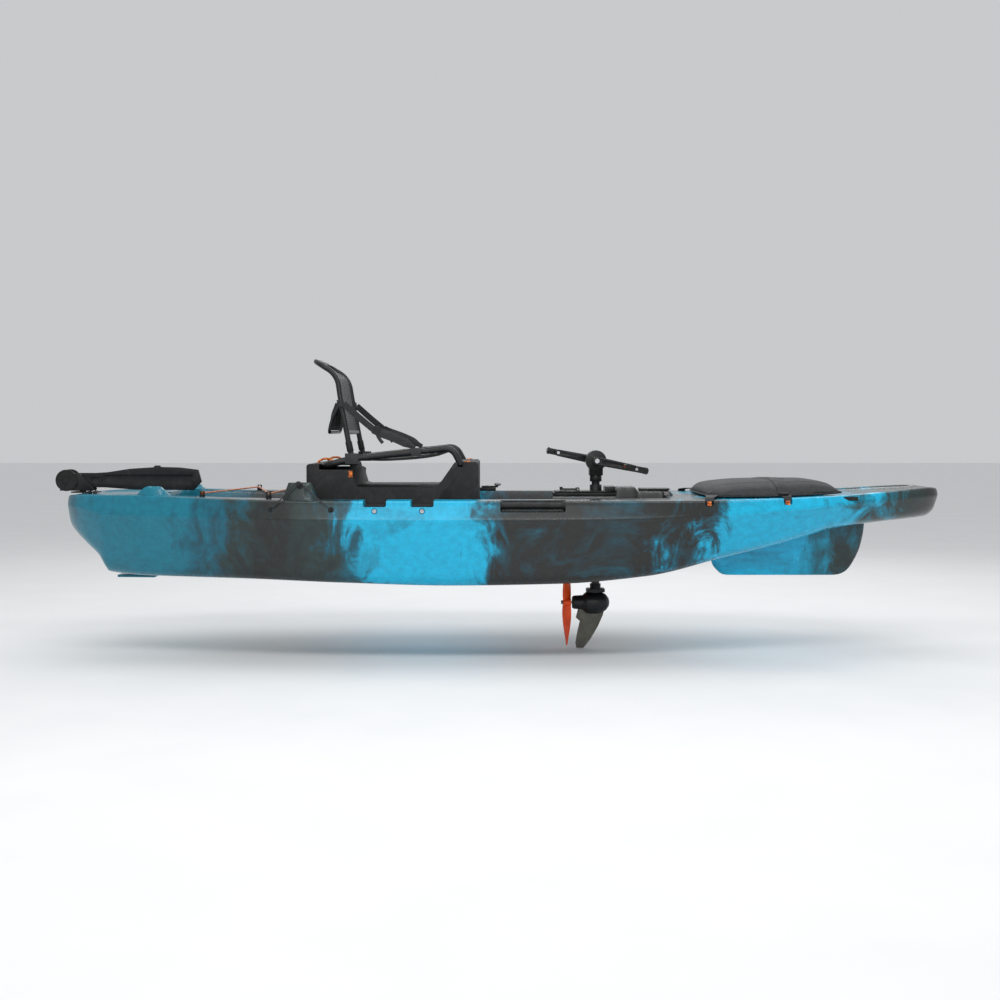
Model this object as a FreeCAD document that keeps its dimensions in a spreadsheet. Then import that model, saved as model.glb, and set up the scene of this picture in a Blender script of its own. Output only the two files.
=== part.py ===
import FreeCAD, Part
import math
import os
import Sketcher
from FreeCAD import Placement, Rotation, Vector

# A sit-on-top pedal boat: a rotomoulded hull with a raised folding seat, a pedal drive that
# turns a two-bladed propeller under the hull, a stowed rudder with a hand lever, and its
# deck fittings.  Frame: +X towards the bow, +Y to port, +Z up.  The origin is on the keel
# amidships.  All sizes are in millimetres.

X_AXIS = Vector(1, 0, 0)
Y_AXIS = Vector(0, 1, 0)
Z_AXIS = Vector(0, 0, 1)
SIDES = (("right", -1), ("left", 1))

DIMENSIONS = [
    # hull
    ("skin", 5, "hull wall thickness"),
    ("deck_level", 337, "height of the gunwale amidships"),
    ("cockpit_floor", 110, "height of the footwell floor"),
    ("tankwell_floor", 190, "height of the rear tankwell floor"),
    ("hatch_floor", 225, "height of the bow tankwell floor"),
    ("console_half", 62, "half width of the centre console"),
    ("scupper_radius", 16, "radius of a scupper hole"),
    ("rod_radius", 21, "radius of a rod holder's bore"),
    ("rod_depth", 150, "depth of a rod holder's bore"),
    # drive
    ("drive_x", 373, "distance of the drive's upright tube from amidships"),
    ("crank_z", 477, "height of the crank axis"),
    ("prop_z", -96, "height of the propeller axis"),
    ("prop_x", 258, "distance of the propeller disc from amidships"),
    ("prop_radius", 175, "radius of the propeller"),
    ("hub_radius", 14, "radius of the propeller's hub"),
    ("head_radius", 41, "outer radius of the upper gear case"),
    ("head_half", 31, "half width of the upper gear case"),
    ("case_wall", 3, "wall of the gear cases"),
    ("tube_radius", 16.5, "outer radius of the drive tube"),
    ("tube_wall", 2.5, "wall of the drive tube"),
    ("shaft_radius", 5, "radius of the drive and propeller shafts"),
    ("axle_radius", 8, "radius of the crank axle"),
    ("gear_module", 2, "module of the bevel gears"),
    ("crank_teeth", 32, "teeth of the crank gear"),
    ("upper_teeth", 12, "teeth of the upper pinion"),
    ("lower_teeth", 27, "teeth of the lower gear"),
    ("prop_teeth", 9, "teeth of the propeller pinion"),
    ("run_gap", 0.05, "radial clearance of a running fit"),
    ("crank_length", 150, "crank axis to pedal axis"),
    ("crank_angle", -11.5, "angle of the starboard crank above level"),
    ("arm_inner", 68, "crank arm's inner face from the middle"),
    ("arm_thick", 15, "thickness of a crank arm"),
    ("pedal_width", 94, "width of a pedal"),
    ("pedal_length", 92, "fore and aft length of a pedal"),
    ("pedal_thick", 24, "thickness of a pedal"),
    ("spindle_radius", 6, "radius of a pedal spindle"),
    ("well_front", 440, "front end of the drive well"),
    ("well_rear", 218, "rear end of the drive well"),
    ("well_half", 54, "half width of the drive well"),
    # seat
    ("riser_half", 254, "half width of the seat riser"),
    ("seat_tube", 12.5, "radius of the seat frame's tube"),
    ("seat_half", 240, "distance of a seat rail from the middle"),
    ("back_tube", 10.5, "radius of the back frame's tube"),
    ("back_half", 214, "distance of a back upright from the middle"),
    ("back_x", -580, "back hinge, distance from amidships"),
    ("back_z", 492, "back hinge, height"),
    ("tube_gauge", 1.8, "wall of the seat's tubes"),
    ("cloth", 3, "thickness of the seat cloth"),
    # rudder and steering
    ("rudder_x", -1748, "rudder lifting pivot, distance from amidships"),
    ("rudder_z", 398, "rudder lifting pivot, height"),
    ("rudder_disc", 43, "radius of the rudder's hub disc"),
    ("steer_x", -1692, "rudder steering pin, distance from amidships"),
    ("lever_x", -68, "steering lever's pivot, distance from amidships"),
    ("lever_y", 385, "steering lever's pivot, distance to port"),
    # fittings
    ("rail_tube", 11, "radius of a side grab rail"),
    ("cord_radius", 2.5, "radius of the elastic cords"),
    ("bolt_head", 7.5, "radius of a deck bolt's head"),
]

doc = FreeCAD.newDocument("pedal_boat")
sheet = doc.addObject("Spreadsheet::Sheet", "Sheet")
for row, (alias, value, meaning) in enumerate(DIMENSIONS, start=1):
    sheet.set(f"A{row}", meaning)
    sheet.set(f"B{row}", str(value))
    sheet.setAlias(f"B{row}", alias)
doc.recompute()

sub_parts = []


def dim(alias):
    """The value of one driving dimension."""
    return float(sheet.get(alias))


def bind(item, **formulas):
    """Tie an object's properties to formulas; a double underscore stands for a dot."""
    for prop, formula in formulas.items():
        item.setExpression(prop.replace("__", "."), formula)
    return item


def finish(item, label):
    """Name an object as one of the boat's sub-parts."""
    item.Label = label
    sub_parts.append(item)
    return item


def feature(label, shape):
    """A sub-part whose shape is made directly."""
    item = doc.addObject("Part::Feature", label)
    item.Shape = shape
    return finish(item, label)


def plain_box(name, low, high):
    """A box primitive between two corners."""
    item = doc.addObject("Part::Box", name)
    item.Length = high[0] - low[0]
    item.Width = high[1] - low[1]
    item.Height = high[2] - low[2]
    item.Placement.Base = Vector(*low)
    return item


def plain_cylinder(name, radius, height, base, axis=Z_AXIS):
    """A cylinder primitive from a base centre along an axis; sizes are formulas or numbers."""
    item = doc.addObject("Part::Cylinder", name)
    for prop, size in (("Radius", radius), ("Height", height)):
        if isinstance(size, str):
            item.setExpression(prop, size)
        else:
            setattr(item, prop, size)
    item.Placement = Placement(Vector(*base), Rotation(Z_AXIS, axis))
    return item


def cut(name, base, *tools):
    """Base with every tool taken away."""
    for number, tool in enumerate(tools):
        item = doc.addObject("Part::Cut", f"{name}_{number}")
        item.Base = base
        item.Tool = tool
        base = item
    return base


def fuse(name, *members):
    """Members joined into one solid."""
    item = doc.addObject("Part::MultiFuse", name)
    item.Shapes = list(members)
    return item


def new_body(label, listed=True):
    """An empty body; one that is only a step towards a sub-part isn't listed."""
    body = doc.addObject("PartDesign::Body", label)
    return finish(body, label) if listed else body


def sketch_on(body, role):
    """An empty sketch on one of the body's own origin planes."""
    plane = next(item for item in body.Origin.OriginFeatures if item.Role == role)
    sketch = body.newObject("Sketcher::SketchObject", f"{body.Name}_sketch")
    sketch.AttachmentSupport = [(plane, "")]
    sketch.MapMode = "FlatFace"
    return sketch


def draw_outline(sketch, points):
    """A closed outline of straight edges."""
    corners = [Vector(x, y, 0) for x, y in points]
    for start, end in zip(corners, corners[1:] + corners[:1]):
        sketch.addGeometry(Part.LineSegment(start, end), False)


def draw_circle(sketch, x, y, formula):
    """A circle whose radius follows a formula."""
    number = sketch.addGeometry(Part.Circle(Vector(x, y, 0), Z_AXIS, 5), False)
    place = sketch.addConstraint(Sketcher.Constraint("Radius", number, 5))
    sketch.setExpression(f"Constraints[{place}]", formula)


def pad(body, sketch, formula, both_ways=True, taper=0):
    """Extrude a sketch by a formula's length."""
    item = body.newObject("PartDesign::Pad", f"{body.Name}_pad")
    item.Profile = sketch
    item.setExpression("Length", formula)
    item.Midplane = both_ways
    item.TaperAngle = taper
    body.Tip = item
    return item


def pocket(body, sketch, formula, both_ways=True):
    """Cut a sketch into the body."""
    item = body.newObject("PartDesign::Pocket", f"{body.Name}_pocket")
    item.Profile = sketch
    item.setExpression("Length", formula)
    item.Midplane = both_ways
    body.Tip = item
    return item


def outline_body(label, role, points, formula, x="0", y="0", z="0"):
    """A body padded both ways from an outline, moved to a place given by formulas."""
    body = new_body(label)
    sketch = sketch_on(body, role)
    draw_outline(sketch, points)
    pad(body, sketch, formula)
    bind(body, Placement__Base__x=x, Placement__Base__y=y, Placement__Base__z=z)
    return body


def revolved(points, centre, axis, reference):
    """Turn a profile of (radius, distance along the axis) about an axis through a centre."""
    corners = [centre + reference * r + axis * along for r, along in points]
    wire = Part.makePolygon(corners + corners[:1])
    return Part.Face(wire).revolve(centre, axis, 360)


def ring(inner, outer, low, high, centre, axis):
    """A plain ring round an axis, from low to high along it."""
    reference = X_AXIS if abs(axis.dot(X_AXIS)) < 0.5 else Z_AXIS
    profile = [(inner, low), (outer, low), (outer, high), (inner, high)]
    return revolved(profile, centre, axis, reference)


def prism(points, axis, low, high):
    """A closed outline of points extruded between two heights along X, Y or Z."""
    lift = {"X": lambda a, b: Vector(low, a, b), "Y": lambda a, b: Vector(a, low, b),
            "Z": lambda a, b: Vector(a, b, low)}[axis]
    way = {"X": X_AXIS, "Y": Y_AXIS, "Z": Z_AXIS}[axis]
    corners = [lift(a, b) for a, b in points]
    wire = Part.makePolygon(corners + corners[:1])
    return Part.Face(wire).extrude(way * (high - low))


def block(x0, x1, y0, y1, z0, z1):
    return Part.makeBox(x1 - x0, y1 - y0, z1 - z0, Vector(x0, y0, z0))


def mirror(shape):
    """The same shape on the other side of the middle plane."""
    return shape.mirror(Vector(0, 0, 0), Y_AXIS)


def both(shape):
    """A shape and its mirror image."""
    return [shape, mirror(shape)]


def rounded_path(points, share=0.45):
    """A wire of straight runs joined by tangent arcs."""
    points = [Vector(*point) for point in points]
    edges = []
    start = points[0]
    for before, corner, after in zip(points, points[1:], points[2:]):
        back = before - corner
        ahead = after - corner
        reach = share * min(back.Length, ahead.Length)
        back.normalize()
        ahead.normalize()
        turn = math.pi - back.getAngle(ahead)
        radius = reach / math.tan(turn / 2)
        first = corner + back * reach
        last = corner + ahead * reach
        bisector = back + ahead
        bisector.normalize()
        centre = corner + bisector * (radius / math.cos(turn / 2))
        middle = centre - bisector * radius
        if (first - start).Length > 0.001:
            edges.append(Part.LineSegment(start, first).toShape())
        edges.append(Part.Arc(first, middle, last).toShape())
        start = last
    edges.append(Part.LineSegment(start, points[-1]).toShape())
    return Part.Wire(edges)


def swept(points, radius, share=0.45):
    """A solid round bar along a rounded path."""
    path = rounded_path(points, share)
    first = path.Edges[0]
    start = first.valueAt(first.FirstParameter)
    way = first.tangentAt(first.FirstParameter)
    circle = Part.Wire(Part.makeCircle(radius, start, way))
    return path.makePipeShell([circle], True, False)


def tube(points, radius, wall, share=0.45):
    """A hollow tube along a rounded path."""
    return swept(points, radius, share).cut(swept(points, radius - wall, share))


def rotated(shape, degrees, centre, axis):
    copy = shape.copy()
    copy.rotate(centre, axis, degrees)
    return copy


def moved(shape, x, y, z):
    copy = shape.copy()
    copy.translate(Vector(x, y, z))
    return copy


def joined(shapes):
    """Shapes fused into one clean solid."""
    return shapes[0].multiFuse(shapes[1:]).removeSplitter()


# ---------------------------------------------------------------- hull

# One row per station: distance from amidships, keel height, half breadth and height of the
# bilge, half breadth of the shoulder, half breadth and height of the gunwale.
STATIONS = [
    (-1722, 216, 60, 222, 92, 80, 316),
    (-1706, 200, 92, 208, 142, 130, 341),
    (-1640, 145, 150, 157, 210, 196, 348),
    (-1580, 90, 180, 108, 245, 231, 350),
    (-1540, 25, 195, 52, 262, 248, 350),
    (-1400, 14, 245, 42, 320, 305, 352),
    (-1000, 8, 330, 37, 412, 396, 341),
    (-600, 3, 385, 25, 455, 438, 337),
    (-200, 0, 400, 15, 463, 446, 337),
    (200, 3, 395, 21, 461, 444, 337),
    (550, 25, 360, 48, 445, 428, 337),
    (850, 92, 315, 117, 408, 392, 338),
    (1090, 148, 270, 170, 356, 341, 342),
    (1300, 205, 225, 224, 298, 284, 349),
    (1450, 228, 185, 241, 253, 240, 358),
    (1600, 243, 140, 254, 205, 193, 369),
    (1676, 252, 100, 262, 162, 150, 373),
    (1711, 272, 70, 282, 122, 110, 368),
    (1718, 300, 50, 306, 95, 84, 350),
]
SHOULDER_DROP = 0.22


def section(station, inset=0):
    """The closed outline of one station, moved inwards by an inset."""
    x, keel, bilge_y, bilge_z, shoulder_y, rail_y, rail_z = station
    shoulder_z = rail_z - SHOULDER_DROP * (rail_z - keel)
    half = [
        (rail_y - inset, rail_z - inset),
        (shoulder_y - inset, shoulder_z - 0.3 * inset),
        (bilge_y - inset, bilge_z + inset),
        (bilge_y / 2, keel + 0.25 * (bilge_z - keel) + inset),
    ]
    right = [Vector(x, -y, z) for y, z in half]
    left = [Vector(x, y, z) for y, z in reversed(half)]
    return right + [Vector(x, 0, keel + inset)] + left


def flat_face(corners):
    return Part.Face(Part.makePolygon(corners + corners[:1]))


def faceted_loft(sections):
    """A closed solid of flat faces through sections that have the same number of corners."""
    faces = [flat_face(sections[0]), flat_face(sections[-1])]
    for near, far in zip(sections, sections[1:]):
        for i, corner in enumerate(near):
            j = (i + 1) % len(near)
            quad = [corner, near[j], far[j], far[i]]
            normal = (near[j] - corner).cross(far[i] - corner).normalize()
            if abs((far[j] - corner).dot(normal)) < 1e-6:
                faces.append(flat_face(quad))
            else:
                faces.append(flat_face(quad[:3]))
                faces.append(flat_face([quad[0], quad[2], quad[3]]))
    return Part.makeSolid(Part.makeShell(faces))


def hull_loft(inset=0):
    """The outer form of the hull, or its inside when inset."""
    stations = list(STATIONS)
    if inset:
        stations[0] = (stations[0][0] + inset,) + stations[0][1:]
        stations[-1] = (stations[-1][0] - inset,) + stations[-1][1:]
    return faceted_loft([section(station, inset) for station in stations])


def forefoot(inset=0):
    """The deep narrow keel fin under the bow."""
    levels = [
        (15 + inset, 876, 1358, 22),
        (60, 842, 1408, 34),
        (130, 826, 1440, 48),
        (200, 824, 1454, 60),
        (262, 824, 1458, 70),
    ]
    wires = []
    for z, rear, front, half in levels:
        rear += inset
        front -= inset
        half -= inset
        corners = [
            Vector(rear, 0, z),
            Vector(rear + 90, -half, z),
            Vector(front - 170, -half, z),
            Vector(front, 0, z),
            Vector(front - 170, half, z),
            Vector(rear + 90, half, z),
        ]
        wires.append(corners)
    return faceted_loft(wires)


TOP = 600
COCKPIT_PLAN = [(-768, 330), (-120, 345), (200, 332), (640, 250)]
TANKWELL_PLAN = [(-1320, 215), (-1260, 250), (-822, 300)]
HATCH_PLAN = [(790, 250), (1100, 215), (1215, 170)]
CONSOLE_REAR = 192
CONSOLE_FRONT = 700
TUNNEL_RADIUS = 190
TUNNEL_REAR = 222
TUNNEL_FRONT = 296
SCUPPERS = [(-1180, 150), (-940, 170)]
HUMP_X = -757
HUMP_Z = 402
ROD_Y = 388
ROD_LEAN = 20
GRAB_DIP = (-11, 230)
EAR_PLACES = (-476, -300)
EAR_HALF = 43
HOOK_PLACES = [(768, 400), (1073, 340)]
BIN_REAR = 562
BIN_FRONT = 646
BIN_HALF = 40


def well(plan, floor, grow=0):
    """A tapered recess from a half plan, open upwards."""
    right = [(x, -y - grow) for x, y in plan]
    left = [(x, y + grow) for x, y in reversed(plan)]
    outline = right + left
    first = plan[0][0]
    last = plan[-1][0]
    outline = [(x - grow if x == first else x + grow if x == last else x, y) for x, y in outline]
    return prism(outline, "Z", floor - grow, TOP)


def cockpit(grow=0):
    """The footwell round the centre console."""
    console = block(CONSOLE_REAR + grow, CONSOLE_FRONT, -dim("console_half") + grow,
                    dim("console_half") - grow, 0, TOP)
    return well(COCKPIT_PLAN, dim("cockpit_floor"), grow).cut(console)


def drive_well(grow=0):
    """The slot that the drive goes down through, with the recess its propeller turns in."""
    half = dim("well_half") + grow
    slot = block(dim("well_rear") - grow, dim("well_front") + grow, -half, half, -50, TOP)
    centre = Vector(TUNNEL_REAR - grow, 0, dim("prop_z"))
    length = TUNNEL_FRONT - TUNNEL_REAR + 2 * grow
    tunnel = Part.makeCylinder(TUNNEL_RADIUS + grow, length, centre, X_AXIS)
    return slot.fuse(tunnel)


def rod_bore(grow=0):
    """The leaning bore of one rod holder, on the port side."""
    lean = Vector(-math.sin(math.radians(ROD_LEAN)), 0, math.cos(math.radians(ROD_LEAN)))
    mouth = Vector(HUMP_X, ROD_Y, HUMP_Z + 20)
    length = dim("rod_depth") + 30 + grow
    return Part.makeCylinder(dim("rod_radius") + grow, length, mouth - lean * length, lean)


def recesses(grow=0):
    """Every recess of the hull, each one grown by a wall."""
    shapes = [well(TANKWELL_PLAN, dim("tankwell_floor"), grow), cockpit(grow),
              well(HATCH_PLAN, dim("hatch_floor"), grow), drive_well(grow)]
    deck = dim("deck_level")
    for x, y in SCUPPERS:
        hole = Part.makeCylinder(dim("scupper_radius") + grow, TOP, Vector(x, y, -50))
        shapes += both(hole)
    shapes += both(block(GRAB_DIP[0] - grow, GRAB_DIP[1] + grow, 405 - grow, 500,
                         deck - 41 - grow, TOP))
    for x in EAR_PLACES:
        shapes += both(block(x - EAR_HALF - grow, x + EAR_HALF + grow, 330 - grow, 500,
                             deck - 22 - grow, TOP))
    shapes += both(rod_bore(grow))
    for x, y in HOOK_PLACES:
        shapes += both(block(x - 17 - grow, x + 17 + grow, y - 25 - grow, 500,
                             deck - 19 - grow, TOP))
    bin_half = BIN_HALF + grow
    shapes.append(block(BIN_REAR - grow, BIN_FRONT + grow, -bin_half, bin_half, 300 - grow, TOP))
    return shapes


def humps():
    """The raised shoulders that carry the rod holders and the ones beside the rudder."""
    rod = prism([(HUMP_X - 65, 330), (HUMP_X - 30, HUMP_Z - 12), (HUMP_X, HUMP_Z),
                 (HUMP_X + 28, HUMP_Z - 12), (HUMP_X + 65, 330)], "Y", 352, 420)
    stern = prism([(-1391, 345), (-1375, 378), (-1340, 383), (-1300, 378), (-1280, 340)],
                  "Y", 278, 312)
    return both(rod) + both(stern)


def console_top():
    """The stepped top of the console ahead of the drive well."""
    half = dim("console_half")
    front = [(452, 330), (452, 374), (528, 374), (545, 358), (668, 358), (678, 335), (700, 330)]
    return prism(front, "Y", -half, half)


def make_hull(fittings):
    """The hollow hull, with seats for the fittings that are let into it."""
    outer = joined([hull_loft(), forefoot()] + humps() + [console_top()])
    solid = outer
    for shape in recesses() + fittings:
        solid = solid.cut(shape)
    skin = dim("skin")
    hollow = hull_loft(skin)
    for shape in recesses(skin):
        hollow = hollow.cut(shape)
    return solid.cut(hollow)


# ---------------------------------------------------------------- deck fittings

RAIL_Y = 424
EYES = [(-863, 419), (-637, 442)]
EYE_Z = 304


def bolt(head_centre, axis, head, shank=3, length=14, thick=4):
    """A pan-head bolt with a hexagon socket; its shank goes the way of the axis."""
    body = Part.makeCylinder(shank, length, head_centre, axis)
    cap = Part.makeCylinder(head, thick, head_centre - axis * thick, axis)
    angles = [math.radians(60 * i) for i in range(6)]
    socket = prism([(2.4 * math.cos(a), 2.4 * math.sin(a)) for a in angles], "Z", 0, thick / 2)
    socket.Placement = Placement(head_centre - axis * thick, Rotation(Z_AXIS, axis))
    return body.fuse(cap).cut(socket)


def make_riser_bolts():
    head = dim("bolt_head")
    bolts = []
    for x in EAR_PLACES:
        bolts += both(bolt(Vector(x, 448, 300), -Y_AXIS, head))
    return bolts


def pad_eye(x, y, z, way):
    """A small round base with a loop standing out of it, the way it faces."""
    base = Part.makeCylinder(11, 8, Vector(x, y, z) - way * 4, way)
    loop = Part.makeTorus(6, 2.2, Vector(x, y, z) + way * 8, X_AXIS)
    return base.fuse(loop)


def make_pad_eyes():
    eyes = []
    for x, y in EYES:
        eyes += both(pad_eye(x, y, EYE_Z, Y_AXIS))
    eyes += both(pad_eye(HUMP_X, 417, 392, Y_AXIS))
    return eyes


def make_side_cords():
    """The V of elastic cord over each rod holder's shoulder."""
    radius = dim("cord_radius")
    (x1, y1), (x2, y2) = EYES
    path = [(x1 + 9, y1 + 14, EYE_Z + 10), APEX_OVER, (x2 - 10, y2 + 14, EYE_Z + 10)]
    return Part.makeCompound(both(swept(path, radius, 0.1)))


APEX_OVER = (HUMP_X, 435, 410)


def make_grab_rails():
    radius = dim("rail_tube")
    first, last = GRAB_DIP
    z = dim("deck_level") - 18
    bar = Part.makeCylinder(radius, last - first, Vector(first, RAIL_Y, z), X_AXIS)
    collars = [Part.makeCylinder(radius + 5, 8, Vector(x, RAIL_Y, z), X_AXIS)
               for x in (first, last - 8)]
    return both(bar.multiFuse(collars))


BUNGEE_Z = 359
BUNGEE = [(-1145, -290), (-1035, 303), (-885, -332), (-865, 335)]


def make_bungee_loops():
    """The deck loops that the rear elastic cord zigzags between."""
    loops = []
    for x, y in BUNGEE:
        side = 1 if y > 0 else -1
        y_out = y + side * 4
        base = Part.makeCylinder(11, 12, Vector(x, y_out, BUNGEE_Z - 18), Z_AXIS)
        post = block(x - 9, x + 9, y_out - 2.5, y_out + 2.5, BUNGEE_Z - 8, BUNGEE_Z + 8)
        eye = Part.makeCylinder(5, 20, Vector(x, y_out - 10, BUNGEE_Z), Y_AXIS)
        loops.append(base.fuse(post).cut(eye))
    return loops


def make_rear_bungee():
    points = [(x, y - (12 if y > 0 else -12), BUNGEE_Z) for x, y in BUNGEE]
    return swept(points, dim("cord_radius") + 0.5, 0.06)


def make_bungee_hooks():
    """The end hooks of the rear elastic cord."""
    hooks = []
    for (x, y), nearer in ((BUNGEE[0], 1), (BUNGEE[-1], -1)):
        plug = Part.makeCylinder(5, 9, Vector(x, y + nearer * 2, BUNGEE_Z), Y_AXIS * nearer)
        hooks.append(plug)
    return hooks


def make_front_hooks():
    """The hooks that hold the bow cover's elastic edge, one in each notch of the gunwale."""
    floor = dim("deck_level") - 19
    hooks = []
    for x, y in HOOK_PLACES:
        profile = [(y - 8, floor), (y + 14, floor), (y + 14, floor + 5), (y, floor + 5),
                   (y, floor + 11), (y + 8, floor + 11), (y + 8, floor + 15),
                   (y - 8, floor + 15)]
        hooks += both(prism(profile, "X", x - 8, x + 8))
    return hooks


def make_bow_handles():
    """A moulded finger grip on each side of the bow."""
    grip = Part.makeBox(56, 8, 14, Vector(1297, 280, 331))
    return both(grip)


skid = outline_body("stern_skid_plate", "XY_Plane",
                    [(-1550, -28), (-1395, -42), (-1395, 42), (-1550, 28)], "10", z="14")
drain = new_body("drain_plug")
drain_sketch = sketch_on(drain, "YZ_Plane")
draw_circle(drain_sketch, 0, 0, "Sheet.bolt_head + 5")
pad(drain, drain_sketch, "16")
bind(drain, Placement__Base__x="-1720", Placement__Base__y="42", Placement__Base__z="290")
deck_loops = feature("deck_loops", Part.makeCompound(make_pad_eyes() + make_bungee_loops()))
feature("side_cords", make_side_cords())
feature("rear_bungee", make_rear_bungee())
handles = feature("carry_handles", Part.makeCompound(make_grab_rails() + make_bow_handles()))
hooks = feature("cord_hooks", Part.makeCompound(make_bungee_hooks() + make_front_hooks()))

# ---------------------------------------------------------------- rudder and steering

RUDDER_PIVOT = Vector(dim("rudder_x"), 0, dim("rudder_z"))
STERN_DECK = 348


def make_rudder_bracket():
    """The plate on the stern deck that carries the steering pin."""
    plate = block(-1728, -1628, -36, 36, STERN_DECK, STERN_DECK + 5)
    boss = Part.makeCylinder(13, 3, Vector(dim("steer_x"), 0, STERN_DECK + 5))
    bore = Part.makeCylinder(4, 40, Vector(dim("steer_x"), 0, STERN_DECK - 12))
    for x in (-1645, -1666):
        for y in (-24, 24):
            plate = plate.cut(Part.makeCylinder(3, 20, Vector(x, y, STERN_DECK - 5)))
    return plate.fuse(boss).cut(bore)


def make_rudder_screws():
    head = dim("bolt_head") - 2
    heads = [Vector(x, y, STERN_DECK + 5) for x in (-1645, -1666) for y in (-24, 24)]
    return [bolt(head_at, -Z_AXIS, head, 3, 18, 3) for head_at in heads]


def make_rudder_yoke():
    """The fork that swings on the steering pin and carries the blade between its ears."""
    level = STERN_DECK + 8.3
    plate = block(-1735, -1678, -24, 24, level, level + 5)
    ears = [block(-1776, -1716, y, y + 7, level, level + 30) for y in (-24, 17)]
    rounds = [Part.makeCylinder(30, 7, Vector(dim("rudder_x"), y, dim("rudder_z")), Y_AXIS)
              for y in (-24, 17)]
    gusset = [(-1740, level), (-1644, level), (-1641, level + 9), (-1694, 424), (-1740, 424)]
    struts = [prism(gusset, "Y", y, y + 7) for y in (-24, 17)]
    whole = plate.multiFuse(ears + rounds + struts)
    whole = whole.cut(Part.makeCylinder(5, 60, RUDDER_PIVOT - Y_AXIS * 30, Y_AXIS))
    return whole.cut(Part.makeCylinder(4.05, 40, Vector(dim("steer_x"), 0, STERN_DECK)))


def make_steering_pin():
    pin = Part.makeCylinder(4, 30, Vector(dim("steer_x"), 0, STERN_DECK - 12))
    cap = Part.makeCylinder(7, 2.5, Vector(dim("steer_x"), 0, STERN_DECK + 13.6))
    return pin.fuse(cap)


def make_rudder_axle():
    """The pin that the blade lifts about, with a head at each end."""
    return Part.makeCylinder(5, 48, RUDDER_PIVOT - Y_AXIS * 24, Y_AXIS)


def make_hub_caps():
    """The ribbed discs outside the fork."""
    radius = dim("rudder_disc")
    disc = Part.makeCylinder(radius, 7, RUDDER_PIVOT + Y_AXIS * 24, Y_AXIS)
    rib = block(dim("rudder_x") + 14, dim("rudder_x") + radius - 6, 29.5, 31,
                dim("rudder_z") - 1.5, dim("rudder_z") + 1.5)
    dish = ring(11, radius - 4, 29.5, 32, RUDDER_PIVOT, Y_AXIS)
    ribs = [rotated(rib, 36 * i, RUDDER_PIVOT, Y_AXIS) for i in range(10)]
    return both(disc.cut(dish).multiFuse(ribs))


def make_rudder_blade():
    """The neck and blade, lying forward over the stern deck."""
    outline = [(-1748, 369), (-1600, 369), (-1560, 366), (-1480, 360), (-1245, 358),
               (-1213, 392), (-1226, 440), (-1300, 449), (-1375, 451), (-1381, 457),
               (-1398, 457), (-1405, 450), (-1500, 444), (-1590, 430), (-1640, 427),
               (-1748, 427)]
    plate = prism(outline, "Y", -9, 9)
    hub = Part.makeCylinder(34, 26, RUDDER_PIVOT - Y_AXIS * 13, Y_AXIS)
    whole = plate.cut(Part.makeCylinder(34, 40, RUDDER_PIVOT - Y_AXIS * 20, Y_AXIS)).fuse(hub)
    window = block(-1655, -1610, -20, 20, 388, 410)
    trough = block(-1600, -1250, -20, -6, 392, 418)
    whole = whole.cut(window.common(block(-1700, -1600, -20, -6, 300, 500)))
    whole = whole.cut(trough).cut(mirror(trough))
    return whole.cut(Part.makeCylinder(5.05, 60, RUDDER_PIVOT - Y_AXIS * 30, Y_AXIS))


def make_steering_pod():
    x = dim("lever_x")
    base = block(x - 39, x + 38, 350, 420, 337, 352)
    return base.cut(Part.makeCylinder(5, 30, Vector(x, dim("lever_y"), 330)))


def make_lever_pin():
    x = dim("lever_x")
    return Part.makeCylinder(5, 24, Vector(x, dim("lever_y"), 337))


def make_steering_lever():
    x = dim("lever_x")
    y = dim("lever_y")
    hub = Part.makeCylinder(24, 7, Vector(x, y, 352.3))
    arm = block(x, x + 48, y - 7, y + 7, 352.3, 359.3)
    return hub.fuse(arm).cut(Part.makeCylinder(5.05, 30, Vector(x, y, 340)))


def make_lever_knob():
    x = dim("lever_x")
    y = dim("lever_y")
    profile = [(0.01, 0), (9, 0), (15, 4), (15, 9), (9, 13), (0.01, 13)]
    return revolved(profile, Vector(x + 46, y, 359.3), Z_AXIS, X_AXIS)


bracket = feature("rudder_bracket", make_rudder_bracket())
bolts = feature("deck_bolts", Part.makeCompound(make_riser_bolts() + make_rudder_screws()))
pins = feature("steering_pins", Part.makeCompound([make_steering_pin(), make_lever_pin()]))
feature("rudder_yoke", make_rudder_yoke())
feature("rudder_axle", Part.makeCompound([make_rudder_axle()] + make_hub_caps()))
feature("rudder_blade", make_rudder_blade())
feature("steering_pod", make_steering_pod())
feature("steering_lever", make_steering_lever())
feature("lever_knob", make_lever_knob())

# The hull is seated round the fittings that are let into it.
seated = [deck_loops, hooks, handles, bolts, pins, bracket, skid, drain]
doc.recompute()
seats = [solid for fitting in seated for solid in fitting.Shape.Solids]
hull_solids = make_hull(seats).Solids
feature("hull", max(hull_solids, key=lambda solid: solid.Volume))

# ---------------------------------------------------------------- pedal drive

DRIVE = Vector(dim("drive_x"), 0, 0)
CRANK = Vector(dim("drive_x"), 0, dim("crank_z"))
PROP = Vector(dim("drive_x"), 0, dim("prop_z"))
ARM_OUTER = dim("arm_inner") + dim("arm_thick")


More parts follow.
